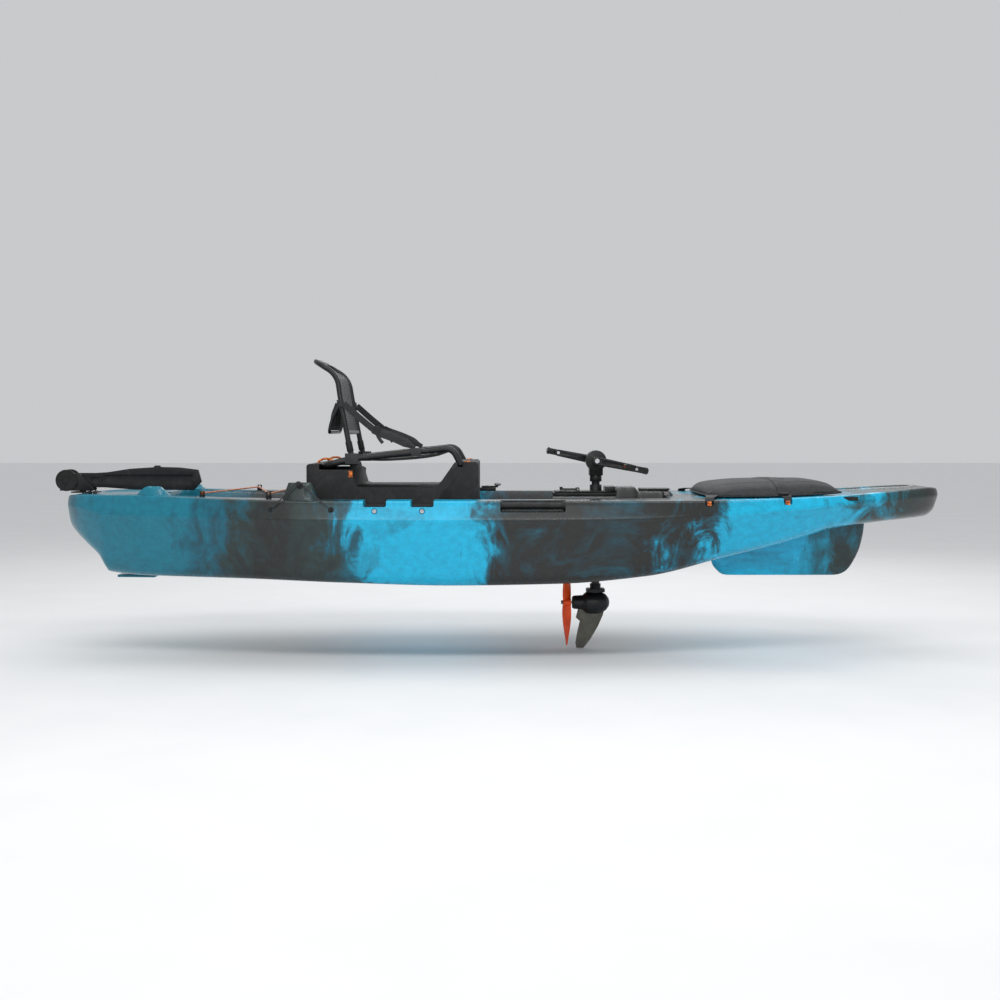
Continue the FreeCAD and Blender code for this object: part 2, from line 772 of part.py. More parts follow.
def bevel_gear(teeth, mate_teeth, face, bore, web):
    """A straight bevel gear on the Z axis below its cone's apex at the origin."""
    teeth = round(teeth)
    module = dim("gear_module")
    radius = module * teeth / 2
    depth = module * mate_teeth / 2
    cone = math.hypot(radius, depth)
    shrink = (cone - face) / cone
    out_r = depth / cone
    out_z = radius / cone
    dedendum = 1.15 * module
    pitch = math.pi * module
    heights = ((-dedendum - 0.4, 0.33), (0, 0.205), (0.75 * module, 0.09))

    def tooth_wire(scale):
        side = [(radius + out_r * up, pitch * half, -depth + out_z * up) for up, half in heights]
        corners = [Vector(*p) * scale for p in side]
        corners += [Vector(x, -y, z) * scale for x, y, z in reversed(side)]
        return Part.makePolygon(corners + corners[:1])

    tooth = Part.makeLoft([tooth_wire(1), tooth_wire(shrink)], True, True)
    rim_r = radius - out_r * dedendum
    rim_z = -depth - out_z * dedendum
    profile = [(bore, rim_z * shrink), (rim_r * shrink, rim_z * shrink), (rim_r, rim_z),
               (rim_r, rim_z - web), (bore, rim_z - web)]
    blank = revolved(profile, Vector(0, 0, 0), Z_AXIS, X_AXIS)
    step = 360 / teeth
    return blank, [rotated(tooth, step * i, Vector(0, 0, 0), Z_AXIS) for i in range(teeth)]


def make_gear(teeth, mate_teeth, face, bore, web, apex, turn, phase):
    """A bevel gear put in its place; phase is a fraction of a tooth."""
    blank, cogs = bevel_gear(teeth, mate_teeth, face, bore, web)
    whole = blank.multiFuse(cogs)
    whole.rotate(Vector(0, 0, 0), Z_AXIS, phase * 360 / teeth)
    whole.Placement = Placement(apex, turn).multiply(whole.Placement)
    return whole


HEAD_BASE = 418


def head_form(grow=0):
    """The upper gear case: a drum about the crank axis on a square neck."""
    radius = dim("head_radius") + grow
    half = dim("head_half") + grow
    drum = Part.makeCylinder(radius, 2 * half, CRANK - Y_AXIS * half, Y_AXIS)
    neck = block(CRANK.x - 27 - grow, CRANK.x + 27 + grow, -27 - grow, 27 + grow,
                 HEAD_BASE - grow, CRANK.z)
    return drum.fuse(neck)


def make_head():
    wall = dim("case_wall")
    shell = head_form().cut(head_form(-wall))
    bosses = [Part.makeCylinder(19, 8, CRANK + Y_AXIS * y, Y_AXIS)
              for y in (-dim("head_half") - 4, dim("head_half") - 4)]
    shell = shell.multiFuse(bosses)
    bore = Part.makeCylinder(14, 120, CRANK - Y_AXIS * 60, Y_AXIS)
    shell = shell.cut(bore)
    return shell.cut(Part.makeCylinder(dim("tube_radius"), 60, DRIVE + Z_AXIS * 370))


def half_of(shape, side, reach=200):
    """The part of a shape on one side of the middle plane."""
    low, high = (0, reach) if side > 0 else (-reach, 0)
    return shape.common(block(-2000, 2000, low, high, -1000, 2000))


def lower_form(grow=0):
    """The lower gear case: a bullet about the propeller's axis."""
    profile = [(0.01, -94 - grow), (22 + grow, -94 - grow), (27 + grow, -86), (29 + grow, -52),
               (45 + grow, -34), (46 + grow, 6), (42 + grow, 26), (32 + grow, 43),
               (17 + grow, 54), (0.01, 58 + grow)]
    return revolved(profile, PROP, X_AXIS, Z_AXIS)


def make_lower_case():
    wall = dim("case_wall")
    neck = Part.makeCylinder(23, 50, PROP + Z_AXIS * 20)
    neck = neck.common(block(PROP.x - 60, PROP.x + 60, -60, 60, PROP.z, NECK_JOINT))
    shell = lower_form().fuse(neck).cut(lower_form(-wall))
    shell = shell.cut(Part.makeCylinder(11, 130, PROP))
    shell = shell.cut(Part.makeCylinder(11, 130, PROP - X_AXIS * 120, X_AXIS))
    flange = block(PROP.x - 37, PROP.x + 37, -24, 24, NECK_JOINT - 6, NECK_JOINT)
    flange = flange.cut(Part.makeCylinder(11, 130, PROP))
    whole = shell.fuse(flange)
    for x in (-29, 29):
        whole = whole.cut(Part.makeCylinder(2.5, 40, PROP + X_AXIS * x + Z_AXIS * 30))
    return whole


NECK_JOINT = -47
NECK_TOP = -20


def make_neck():
    """The socket that the tube stands in, on top of the lower gear case."""
    socket = Part.makeCylinder(22, NECK_TOP - NECK_JOINT, Vector(PROP.x, 0, NECK_JOINT))
    flange = block(PROP.x - 37, PROP.x + 37, -24, 24, NECK_JOINT, NECK_JOINT + 7)
    for x in (-29, 29):
        flange = flange.cut(Part.makeCylinder(2.5, 40, PROP + X_AXIS * x + Z_AXIS * 40))
    whole = socket.fuse(flange)
    return whole.cut(Part.makeCylinder(dim("tube_radius"), 90, Vector(PROP.x, 0, NECK_JOINT)))


def make_neck_screws():
    top = NECK_JOINT + 7
    return [bolt(Vector(PROP.x + x, 0, top), -Z_AXIS, 5.5, 2.5, 12, 4) for x in (-29, 29)]


def make_tube():
    radius = dim("tube_radius")
    length = 430 - NECK_JOINT
    whole = Part.makeCylinder(radius, length, Vector(DRIVE.x, 0, NECK_JOINT))
    inside = Part.makeCylinder(radius - dim("tube_wall"), length, Vector(DRIVE.x, 0, NECK_JOINT))
    return whole.cut(inside)


def make_fin():
    """The swept skeg under the lower gear case."""
    rear = [(-70, -125), (-78, -158), (-62, -172), (-72, -215), (-80, -262), (-76, -281)]
    front = [(-48, -281), (-22, -250), (10, -195), (30, -150), (38, -120)]
    outline = [(PROP.x + x, z) for x, z in rear + front]
    plate = prism(outline, "Y", -5, 5)
    return plate.cut(lower_form())


BLADE_STEPS = 7


def make_propeller():
    """A two-bladed propeller, its blades upright at rest."""
    hub_radius = dim("hub_radius")
    centre = Vector(dim("prop_x"), 0, PROP.z)
    profile = [(0.01, -15), (10, -15), (hub_radius, -9), (hub_radius, 17), (0.01, 17)]
    hub = revolved(profile, centre, X_AXIS, Z_AXIS)
    wires = []
    for step in range(BLADE_STEPS + 1):
        share = step / BLADE_STEPS
        reach = 8 + share * (dim("prop_radius") - 8)
        chord = 22 + 30 * math.sin(math.pi * min(1, 0.18 + share * 0.78)) - 10 * share
        twist = math.radians(58 - 40 * share)
        thick = 5.2 - 3.4 * share
        along = Vector(math.sin(twist), math.cos(twist), 0)
        across = Vector(math.cos(twist), -math.sin(twist), 0)
        shift = Vector(0, 0, reach)
        corners = [centre + shift + along * (chord / 2 * u) + across * (thick / 2 * v)
                   for u, v in ((-1, 0), (-0.5, 0.8), (0.1, 1), (1, 0), (0.1, -1), (-0.5, -0.8))]
        wires.append(Part.makePolygon(corners + corners[:1]))
    blade = Part.makeLoft(wires, True, True)
    other = rotated(blade, 180, centre, X_AXIS)
    whole = hub.fuse(blade).fuse(other)
    shear = Part.makeCylinder(2, 60, centre + Vector(8, 0, -30))
    bore = Part.makeCylinder(dim("shaft_radius"), 60, centre - X_AXIS * 30, X_AXIS)
    return whole.cut(bore).cut(shear)


def make_prop_shaft():
    start = Vector(236, 0, PROP.z)
    shaft = Part.makeCylinder(dim("shaft_radius"), 104, start, X_AXIS)
    shaft = shaft.fuse(Part.makeCylinder(PINION_BORE, 116, start, X_AXIS))
    return shaft.cut(Part.makeCylinder(2, 60, Vector(dim("prop_x") + 8, 0, PROP.z - 30)))


def make_shear_pin():
    half = dim("hub_radius") - 1
    return Part.makeCylinder(2, 2 * half, Vector(dim("prop_x") + 8, 0, PROP.z - half))


def make_prop_nut():
    centre = Vector(dim("prop_x") - 15, 0, PROP.z)
    angles = [math.radians(60 * i) for i in range(6)]
    hexagon = [(9 * math.cos(a), PROP.z + 9 * math.sin(a)) for a in angles]
    nut = prism(hexagon, "X", centre.x - 8, centre.x)
    return nut.cut(Part.makeCylinder(dim("shaft_radius"), 40, centre - X_AXIS * 20, X_AXIS))


AXLE = dim("axle_radius")
SHAFT = dim("shaft_radius")
GAP = dim("run_gap")
DRIVE_BORE = dim("tube_radius") - dim("tube_wall")
PINION_BORE = 3.5
UPPER_TURN = Rotation(X_AXIS, 90)
PROP_TURN = Rotation(Y_AXIS, 90)


def make_crank_axle():
    """The axle with a square end for each crank arm."""
    half = dim("arm_inner")
    round_part = Part.makeCylinder(AXLE, 2 * half, CRANK - Y_AXIS * half, Y_AXIS)
    side = 11
    square = block(CRANK.x - side / 2, CRANK.x + side / 2, half, half + 11,
                   CRANK.z - side / 2, CRANK.z + side / 2)
    ends = [rotated(end, -dim("crank_angle"), CRANK, Y_AXIS) for end in both(square)]
    return round_part.multiFuse(ends)


def arm_outline():
    """A crank arm's outline from its axle end to its pedal end, lying along +X."""
    length = dim("crank_length")
    big = 17
    small = 13.5
    points = []
    for i in range(9):
        angle = math.radians(90 + 22.5 * i)
        points.append((big * math.cos(angle), big * math.sin(angle)))
    for i in range(9):
        angle = math.radians(-90 + 22.5 * i)
        points.append((length + small * math.cos(angle), small * math.sin(angle)))
    return points


def make_arm(sign):
    """One crank arm; the port one points the other way."""
    inner = dim("arm_inner")
    low, high = (-ARM_OUTER, -inner) if sign < 0 else (inner, ARM_OUTER)
    arm = prism(arm_outline(), "Y", low, high)
    rib = prism([(26, -7), (118, -5), (118, 5), (26, 7)], "Y",
                *((low, low + 4) if sign < 0 else (high - 4, high)))
    arm = arm.cut(rib)
    arm = arm.cut(block(-5.5, 5.5, -100, 100, -5.5, 5.5))
    bolt_way = Part.makeCylinder(4, 200, Vector(0, -100, 0), Y_AXIS)
    spindle_way = Part.makeCylinder(dim("spindle_radius"), 200,
                                    Vector(dim("crank_length"), -100, 0), Y_AXIS)
    arm = arm.cut(bolt_way).cut(spindle_way)
    arm.translate(CRANK)
    facing = -dim("crank_angle") if sign < 0 else 180 - dim("crank_angle")
    return rotated(arm, facing, CRANK, Y_AXIS)


def pedal_centre(sign):
    """The middle of a pedal's spindle hole in its arm."""
    angle = math.radians(dim("crank_angle"))
    way = Vector(math.cos(angle), 0, math.sin(angle)) * (1 if sign < 0 else -1)
    return CRANK + way * dim("crank_length")


def make_spindle(sign):
    """A pedal's axle, screwed into the arm."""
    radius = dim("spindle_radius")
    start = pedal_centre(sign) + Y_AXIS * sign * dim("arm_inner")
    length = ARM_OUTER - dim("arm_inner") + dim("pedal_width") - 2
    rod = Part.makeCylinder(radius, length, start, Y_AXIS * sign)
    collar = Part.makeCylinder(10, 3, pedal_centre(sign) + Y_AXIS * sign * ARM_OUTER,
                               Y_AXIS * sign)
    return rod.fuse(collar)


def make_pedal(sign):
    """A flat platform pedal with two open windows and a ribbed tread."""
    centre = pedal_centre(sign)
    width = dim("pedal_width")
    length = dim("pedal_length")
    thick = dim("pedal_thick")
    inner = ARM_OUTER + 5
    low, high = (inner, inner + width) if sign > 0 else (-inner - width, -inner)
    half = length / 2
    outline = [(-half, -thick / 3), (-half + 8, -thick / 2), (half - 8, -thick / 2),
               (half, -thick / 3), (half, thick / 3), (half - 8, thick / 2),
               (-half + 8, thick / 2), (-half, thick / 3)]
    body = prism(outline, "Y", low, high)
    windows = [block(x, x + 22, low + 12, high - 12, -40, 40) for x in (-36, 14)]
    studs = [Part.makeCylinder(2.2, thick + 4, Vector(x, y, -thick / 2 - 2))
             for x in (-40, 0.1, 40) for y in (low + 7, high - 7) if abs(x) > 1]
    body = body.cut(Part.makeCompound(windows)).multiFuse(studs)
    hole = Part.makeCylinder(dim("spindle_radius") + GAP, 400, Vector(0, -200, 0), Y_AXIS)
    ends = [block(sx - 2.5, sx + 2.5, low + 22, high - 22, -6, 6) for sx in (-half, half)]
    body = body.cut(hole).cut(Part.makeCompound(ends))
    body.translate(centre)
    return rotated(body, -dim("crank_angle"), centre, Y_AXIS)


def make_crank_bolts():
    """The bolt and washer that hold each arm on its square."""
    bolts = []
    for _, sign in SIDES:
        top = CRANK + Y_AXIS * sign * ARM_OUTER
        bolts.append(bolt(top, Y_AXIS * -sign, 9, 4, 4, 4))
    return Part.makeCompound(bolts)


PLATE_Z = 350.3
PLATE_TOP = 356.3


def make_drive_plate():
    """The plate that the drive stands on, over the well."""
    half = dim("console_half") - 4
    plate = block(208, 448, -half, half, PLATE_Z, PLATE_TOP)
    nose = block(408, 448, -half, half, PLATE_TOP, 374)
    socket = Part.makeCylinder(24, 30, DRIVE + Z_AXIS * PLATE_Z)
    hole = Part.makeCylinder(dim("tube_radius"), 90, DRIVE + Z_AXIS * 330)
    slot = block(LATCH_X - 60, LATCH_X + 9, -15, 15, PLATE_TOP - 2, PLATE_TOP + 20)
    ears = [block(LATCH_X - 7, LATCH_X + 7, y, y + 5, PLATE_TOP, PLATE_TOP + 12)
            for y in (-20.5, 15.5)]
    whole = plate.multiFuse([nose, socket] + ears).cut(hole).cut(slot)
    pin = Part.makeCylinder(3, 60, Vector(LATCH_X, -30, PLATE_TOP + 6), Y_AXIS)
    return whole.cut(pin)


LATCH_X = 300


def make_latch():
    """The lever that locks the drive down in its dock."""
    z = PLATE_TOP + 6
    eye = Part.makeCylinder(5.5, 29, Vector(LATCH_X, -14.5, z), Y_AXIS)
    arm = block(LATCH_X - 66, LATCH_X, -14.5, 14.5, z - 3, z + 3)
    tip = block(LATCH_X - 72, LATCH_X - 60, -14.5, 14.5, z - 3, z + 9)
    whole = eye.fuse(arm).fuse(tip)
    return whole.cut(Part.makeCylinder(3.05, 60, Vector(LATCH_X, -30, z), Y_AXIS))


def make_latch_pin():
    return Part.makeCylinder(3, 41, Vector(LATCH_X, -20.5, PLATE_TOP + 6), Y_AXIS)


def make_collar():
    """The clamp collar between the gear case and the tube."""
    whole = Part.makeCylinder(24, HEAD_BASE - 393, DRIVE + Z_AXIS * 393)
    return whole.cut(Part.makeCylinder(dim("tube_radius"), 90, DRIVE + Z_AXIS * 370))


def make_dock():
    """The frame round the top of the drive well."""
    half = dim("console_half") - 1
    frame = block(200, 450, -half, half, dim("deck_level"), 350)
    return frame.cut(drive_well())


head = make_head()
lower_case = make_lower_case()
feature("drive_dock", make_dock())
feature("drive_plate", make_drive_plate())
feature("drive_latch", make_latch())
feature("drive_tube", make_tube())
feature("tube_collars", Part.makeCompound([make_collar(), make_neck()]))
for side, sign in SIDES:
    feature(f"gear_case_{side}", half_of(head, sign))
    feature(f"lower_case_{side}", half_of(lower_case, sign))
    feature(f"crank_arm_{side}", make_arm(sign))
    feature(f"pedal_{side}", make_pedal(sign))
feature("pedal_spindles", Part.makeCompound([make_spindle(sign) for _, sign in SIDES]))
feature("drive_pins", Part.makeCompound(make_neck_screws() + [make_latch_pin()]))
feature("drive_fin", make_fin())
feature("crank_axle", make_crank_axle())
feature("crank_bolts", make_crank_bolts())
feature("crank_gear", make_gear(dim("crank_teeth"), dim("upper_teeth"), 12, AXLE, 3,
                              CRANK, UPPER_TURN, 0))
feature("upper_pinion", make_gear(dim("upper_teeth"), dim("crank_teeth"), 12, SHAFT, 3,
                                CRANK, Rotation(), 0.5))
feature("lower_gear", make_gear(dim("lower_teeth"), dim("prop_teeth"), 7, SHAFT, 3,
                              PROP, Rotation(X_AXIS, 180), 0))
feature("prop_pinion", make_gear(dim("prop_teeth"), dim("lower_teeth"), 7, PINION_BORE, 3,
                               PROP, PROP_TURN, 0.5))
feature("drive_shaft", Part.makeCylinder(SHAFT, CRANK.z - 20 - PROP.z + 2,
                                       Vector(DRIVE.x, 0, PROP.z - 2)))
bearings = both(ring(AXLE + GAP, 14, 21, 39, CRANK, Y_AXIS))
bearings += [ring(SHAFT + GAP, DRIVE_BORE, 410, 424, DRIVE, Z_AXIS),
             ring(SHAFT + GAP, 11, -64, -50, DRIVE, Z_AXIS),
             ring(SHAFT + GAP, 11, -91, -80, PROP, X_AXIS),
             ring(SHAFT + GAP, 11, -60, -50, PROP, X_AXIS)]
feature("drive_bearings", Part.makeCompound(bearings))
feature("propeller", make_propeller())
feature("prop_shaft", make_prop_shaft())
feature("propeller_fixings", Part.makeCompound([make_prop_nut(), make_shear_pin()]))

# ---------------------------------------------------------------- seat

RAIL_RISE = [(-691, 462), (-584, 489), (-196, 531), (-161, 466)]
BACK = Vector(dim("back_x"), 0, dim("back_z"))
BACK_RISE = [(-590, 520), (-624, 700), (-641, 812), (-728, 866)]
RISER_HALF = dim("riser_half")


def seat_rail():
    """The seat frame's path: up a front foot, back along a rail, across and forward again."""
    half = dim("seat_half")
    side = [(x, half, z) for x, z in reversed(RAIL_RISE)]
    other = [(x, -y, z) for x, y, z in reversed(side)]
    return side + other


def make_riser():
    """The moulded black box that raises the seat, with channels for the seat's tubes."""
    outline = [(-754, 110), (-754, 462), (-747, 469), (-591, 469), (-566, 385), (-552, 380),
               (-272, 380), (-250, 385), (-188, 473), (-182, 477), (-104, 477), (-96, 469),
               (-96, 110)]
    inside = [(-748, 110), (-748, 458), (-745, 463), (-596, 463), (-571, 380), (-556, 374),
              (-268, 374), (-246, 380), (-192, 468), (-179, 471), (-108, 471), (-102, 466),
              (-102, 110)]
    body = new_body("riser_shell", listed=False)
    sketch = sketch_on(body, "XZ_Plane")
    draw_outline(sketch, outline)
    pad(body, sketch, "2 * Sheet.riser_half")
    inner = sketch_on(body, "XZ_Plane")
    draw_outline(inner, inside)
    pocket(body, inner, "2 * (Sheet.riser_half - 6)")
    deck = dim("deck_level")
    ears = []
    for x in EAR_PLACES:
        for low, high in ((RISER_HALF - 2, 436), (-436, 2 - RISER_HALF)):
            ears.append(plain_box(f"ear_{x}", (x - 38, low, deck - 22), (x + 38, high, deck - 16)))
    whole = fuse("riser_whole", body, *ears)
    tools = [plain_box("tube_channel", (-706, -300, 447.5), (-676, 300, 520))]
    for low in (185, -270):
        tools.append(plain_box("rail_channel", (-706, low, 447.5), (-560, low + 85, 520)))
    for y in (-dim("seat_half"), dim("seat_half")):
        tools.append(plain_cylinder("foot_socket", 17, 60, (-165, y, 458)))
    return cut("riser_cut", whole, *tools)


def make_seat_frame():
    return tube(seat_rail(), dim("seat_tube"), dim("tube_gauge"), 0.4)


def seat_frame_solid():
    return swept(seat_rail(), dim("seat_tube"), 0.4)


def back_rail():
    """The back frame's path: up one side, over the top and down the other."""
    half = dim("back_half")
    levels = [(x, half - 4 * i * i, z) for i, (x, z) in enumerate(BACK_RISE)]
    return levels + [(x, -y, z) for x, y, z in reversed(levels)]


def make_back_frame():
    frame = tube(back_rail(), dim("back_tube"), dim("tube_gauge"), 0.4)
    half = dim("back_half")
    foot = Part.makeCylinder(12, 20, BACK + Y_AXIS * (half - 10), Y_AXIS)
    shank = Part.makeCylinder(10.5, 34, BACK + Y_AXIS * half, Vector(-10, 0, 28))
    shank = shank.common(block(-700, -500, 0, 300, BACK.z, 519))
    foot = foot.fuse(shank).cut(Part.makeCylinder(4.05, 60, BACK + Y_AXIS * 190, Y_AXIS))
    return frame.multiFuse(both(foot))


def make_back_pivots():
    pin = Part.makeCylinder(4, 24, BACK + Y_AXIS * 203, Y_AXIS)
    cap = Part.makeCylinder(7, 2.5, BACK + Y_AXIS * 200.5, Y_AXIS)
    return Part.makeCompound(both(pin.fuse(cap)))


def make_seat_brackets():
    """The plastic sleeves on the rails that the back turns on."""
    body = block(BACK.x - 26, BACK.x + 26, 226, 254, 470, 510)
    body = body.cut(seat_frame_solid())
    body = body.cut(Part.makeCylinder(4, 24, BACK + Y_AXIS * 203, Y_AXIS))
    return both(body)


def make_strap_anchors():
    body = block(-352, -316, 225, 255, 500, 530).cut(seat_frame_solid())
    return both(body)


def ribbon(points, thick, low, high):
    """A strip following a line in the XZ plane, from low to high across the boat."""
    upper = []
    lower = []
    for i, (x, z) in enumerate(points):
        before = Vector(*points[max(i - 1, 0)], 0)
        after = Vector(*points[min(i + 1, len(points) - 1)], 0)
        way = (after - before).normalize()
        upper.append((x - way.y * thick / 2, z + way.x * thick / 2))
        lower.append((x + way.y * thick / 2, z - way.x * thick / 2))
    return prism(upper + lower[::-1], "Y", low, high)


def make_seat_sling():
    line = [(-650, 481), (-584, 489), (-480, 486), (-360, 491), (-270, 503), (-222, 519)]
    return ribbon(line, 12, -198, 198)


def make_back_sling():
    line = [(-604, 606), (-622, 712), (-640, 800), (-700, 842)]
    return ribbon(line, dim("cloth"), -150, 150)


def make_lumbar_panel():
    line = [(-650, 700), (-664, 650), (-666, 602)]
    return ribbon(line, dim("cloth"), -168, 168)


def make_cross_tube():
    bar = Part.makeCylinder(8, 420, Vector(-605, -210, 590), Y_AXIS)
    solid = swept(back_rail(), dim("back_tube"), 0.4)
    pieces = bar.cut(solid).Solids
    return max(pieces, key=lambda piece: piece.Volume)


def make_lumbar_bar():
    """The bar behind the back that the lumbar panel is stretched over."""
    path = [(-627, 209, 706), (-664, 188, 640), (-676, 180, 590), (-676, -180, 590),
            (-664, -188, 640), (-627, -209, 706)]
    solid = swept(back_rail(), dim("back_tube"), 0.4)
    pieces = swept(path, 6, 0.4).cut(solid).Solids
    return max(pieces, key=lambda piece: piece.Volume)


UPPER_STRAP = [(-612, 700), (-497, 600)]
LOWER_STRAP = [(-476, 590), (-352, 541)]


def make_straps():
    """The webbing that holds the back up, on each side."""
    upper = ribbon(UPPER_STRAP, 26, 232, 235)
    lower = ribbon(LOWER_STRAP, 26, 231, 236)
    return Part.makeCompound(both(upper) + both(lower))


def make_strap_buckles():
    buckle = ribbon([(-496, 599.5), (-477, 590.5)], 32, 230, 237)
    buckle = buckle.cut(ribbon(UPPER_STRAP, 26, 232, 235))
    buckle = buckle.cut(ribbon(LOWER_STRAP, 26, 231, 236))
    return Part.makeCompound(both(buckle))


def make_seat_bungees():
    """The elastic loops that hold the seat's rear tube down on the riser."""
    path = [(-724, 469, 5), (-712, 480, 0), (-691, 483, 0), (-670, 480, 0), (-658, 469, 5)]
    cords = []
    for y in (-150, 150):
        line = [(x, y, z + 3.2) for x, z, _ in path]
        cords.append(swept(line, 2.8, 0.4))
    return Part.makeCompound(cords)


finish(make_riser(), "seat_riser")
feature("seat_frame", make_seat_frame())
feature("seat_sling", make_seat_sling())
feature("rail_brackets", Part.makeCompound(make_seat_brackets() + make_strap_anchors()))
feature("back_pivots", make_back_pivots())
feature("back_frame", make_back_frame())
feature("back_cross_tubes", Part.makeCompound([make_cross_tube(), make_lumbar_bar()]))
feature("back_fabric", Part.makeCompound([make_back_sling(), make_lumbar_panel()]))
feature("back_straps", make_straps())
feature("strap_buckles", make_strap_buckles())
feature("seat_bungees", make_seat_bungees())

# ---------------------------------------------------------------- covers

COVER = [(762, 300, 345, 352), (800, 322, 345, 386), (980, 318, 346, 404),
         (1180, 272, 350, 406), (1280, 232, 354, 392), (1322, 200, 357, 366)]


def cover_form(grow=0):
    """The soft bow cover: a crowned pad over the front tankwell."""
    wires = []
    for x, half, edge, crown in COVER:
        side = [(half + grow, edge), (half + grow, edge + 4), (0.72 * half, crown - 5 + grow),
                (0.3 * half, crown + grow)]
        corners = [Vector(x, y, z) for y, z in side]
        corners += [Vector(x, -y, z) for y, z in reversed(side)]
        wires.append(Part.makePolygon(corners + corners[:1]))
    return Part.makeLoft(wires, True, True)


def make_cover_strap():
    slab = block(1046, 1084, -400, 400, 340, 500)
    return cover_form(2.5).common(slab).cut(cover_form())


def make_console_lid():
    """The hinged lid of the dry box in the console."""
    plate = block(550, 660, -54, 54, 358.3, 365.5)
    knuckle = Part.makeCylinder(4, 60, Vector(668, -30, 362.3), Y_AXIS)
    leaf = block(655, 668, -30, 30, 359, 365.5)
    pull = block(544, 550, -16, 16, 359.5, 364)
    whole = plate.multiFuse([knuckle, leaf, pull])
    return whole.cut(Part.makeCylinder(1.55, 120, Vector(668, -60, 362.3), Y_AXIS))


def make_lid_hinge():
    """The pin and end lugs that the console lid turns on."""
    pin = Part.makeCylinder(1.5, 84, Vector(668, -42, 362.3), Y_AXIS)
    lugs = [block(664.5, 671.5, y, y + 9, 358, 366) for y in (31, -40)]
    return pin.multiFuse(lugs)


feature("bow_cover", cover_form())
feature("cover_strap", make_cover_strap())
feature("console_lid", make_console_lid())
feature("lid_hinge", make_lid_hinge())

# ---------------------------------------------------------------- check and write

doc.recompute()
for item in doc.Objects:
    if {"Invalid", "Error"} & set(item.State):
        raise RuntimeError(f"{item.Label} failed: {item.State}")
for item in sub_parts:
    if item.Shape.isNull() or not item.Shape.isValid():
        raise RuntimeError(f"{item.Label} has no valid shape")

os.makedirs("parts", exist_ok=True)
for item in sub_parts:
    item.Shape.exportStep(f"parts/{item.Label}.step")
    solids = len(item.Shape.Solids)
    print(f"{item.Label}: {solids} solid(s), {item.Shape.Volume / 1000:.1f} cm3")
print(len(sub_parts), "sub-parts")
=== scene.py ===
import math

import bmesh
import bpy
import numpy as np
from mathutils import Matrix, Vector
from mathutils.bvhtree import BVHTree


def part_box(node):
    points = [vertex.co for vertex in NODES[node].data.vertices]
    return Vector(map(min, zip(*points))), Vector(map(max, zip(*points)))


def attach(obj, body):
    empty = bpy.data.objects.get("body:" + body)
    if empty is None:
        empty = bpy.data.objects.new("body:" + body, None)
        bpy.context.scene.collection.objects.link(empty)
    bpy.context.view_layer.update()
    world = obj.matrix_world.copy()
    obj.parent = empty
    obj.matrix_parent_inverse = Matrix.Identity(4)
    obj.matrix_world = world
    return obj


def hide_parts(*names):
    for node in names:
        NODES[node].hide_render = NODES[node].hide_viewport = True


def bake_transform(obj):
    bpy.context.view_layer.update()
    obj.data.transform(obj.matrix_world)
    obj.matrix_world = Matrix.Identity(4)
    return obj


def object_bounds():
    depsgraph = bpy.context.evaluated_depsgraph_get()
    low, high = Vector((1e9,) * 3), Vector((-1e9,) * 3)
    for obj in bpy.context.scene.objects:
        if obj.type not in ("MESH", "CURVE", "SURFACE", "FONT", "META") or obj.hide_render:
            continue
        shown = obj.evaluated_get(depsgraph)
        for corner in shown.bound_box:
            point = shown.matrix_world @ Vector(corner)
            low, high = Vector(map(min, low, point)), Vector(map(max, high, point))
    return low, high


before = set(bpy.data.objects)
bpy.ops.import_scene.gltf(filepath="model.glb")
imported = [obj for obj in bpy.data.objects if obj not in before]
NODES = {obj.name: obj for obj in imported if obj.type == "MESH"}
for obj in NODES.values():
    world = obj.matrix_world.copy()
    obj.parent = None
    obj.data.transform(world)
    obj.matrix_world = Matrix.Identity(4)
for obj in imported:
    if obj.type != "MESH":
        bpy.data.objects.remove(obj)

# A sit-on-top pedal boat.  Lengths in the tables below are millimetres in the row frame
# (+X to the bow, +Y to port, +Z up); metres() turns them into Blender's metres.

CAD_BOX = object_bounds()
MM = 0.001
SIDES = (("right", -1), ("left", 1))
scene = bpy.context.scene


def metres(point):
    return Vector(point) * MM


def smooth(value, low, high):
    """0 below low, 1 above high, and an S-curve between; low may be the larger one."""
    t = min(max((value - low) / (high - low), 0.0), 1.0)
    return t * t * (3 - 2 * t)


def along(table, x):
    """A smooth curve through rows that start with their x, which never overshoots a row."""
    table = np.asarray(table, float)
    xs = table[:, 0]
    x = min(max(x, xs[0]), xs[-1])
    i = min(max(int(np.searchsorted(xs, x)) - 1, 0), len(xs) - 2)
    widths = np.diff(xs)
    slopes = np.diff(table[:, 1:], axis=0) / widths[:, None]

    def slope(k):
        if k == 0:
            return slopes[0]
        if k == len(xs) - 1:
            return slopes[-1]
        before, after = slopes[k - 1], slopes[k]
        same = before * after > 0
        total = np.where(same, before + after, 1.0)
        return np.where(same, 2 * before * after / total, 0.0)

    h = widths[i]
    t = (x - xs[i]) / h
    start, end = table[i, 1:], table[i + 1, 1:]
    value = ((2 * t ** 3 - 3 * t ** 2 + 1) * start + (t ** 3 - 2 * t ** 2 + t) * h * slope(i)
             + (3 * t ** 2 - 2 * t ** 3) * end + (t ** 3 - t ** 2) * h * slope(i + 1))
    return value


# ---------------------------------------------------------------- materials

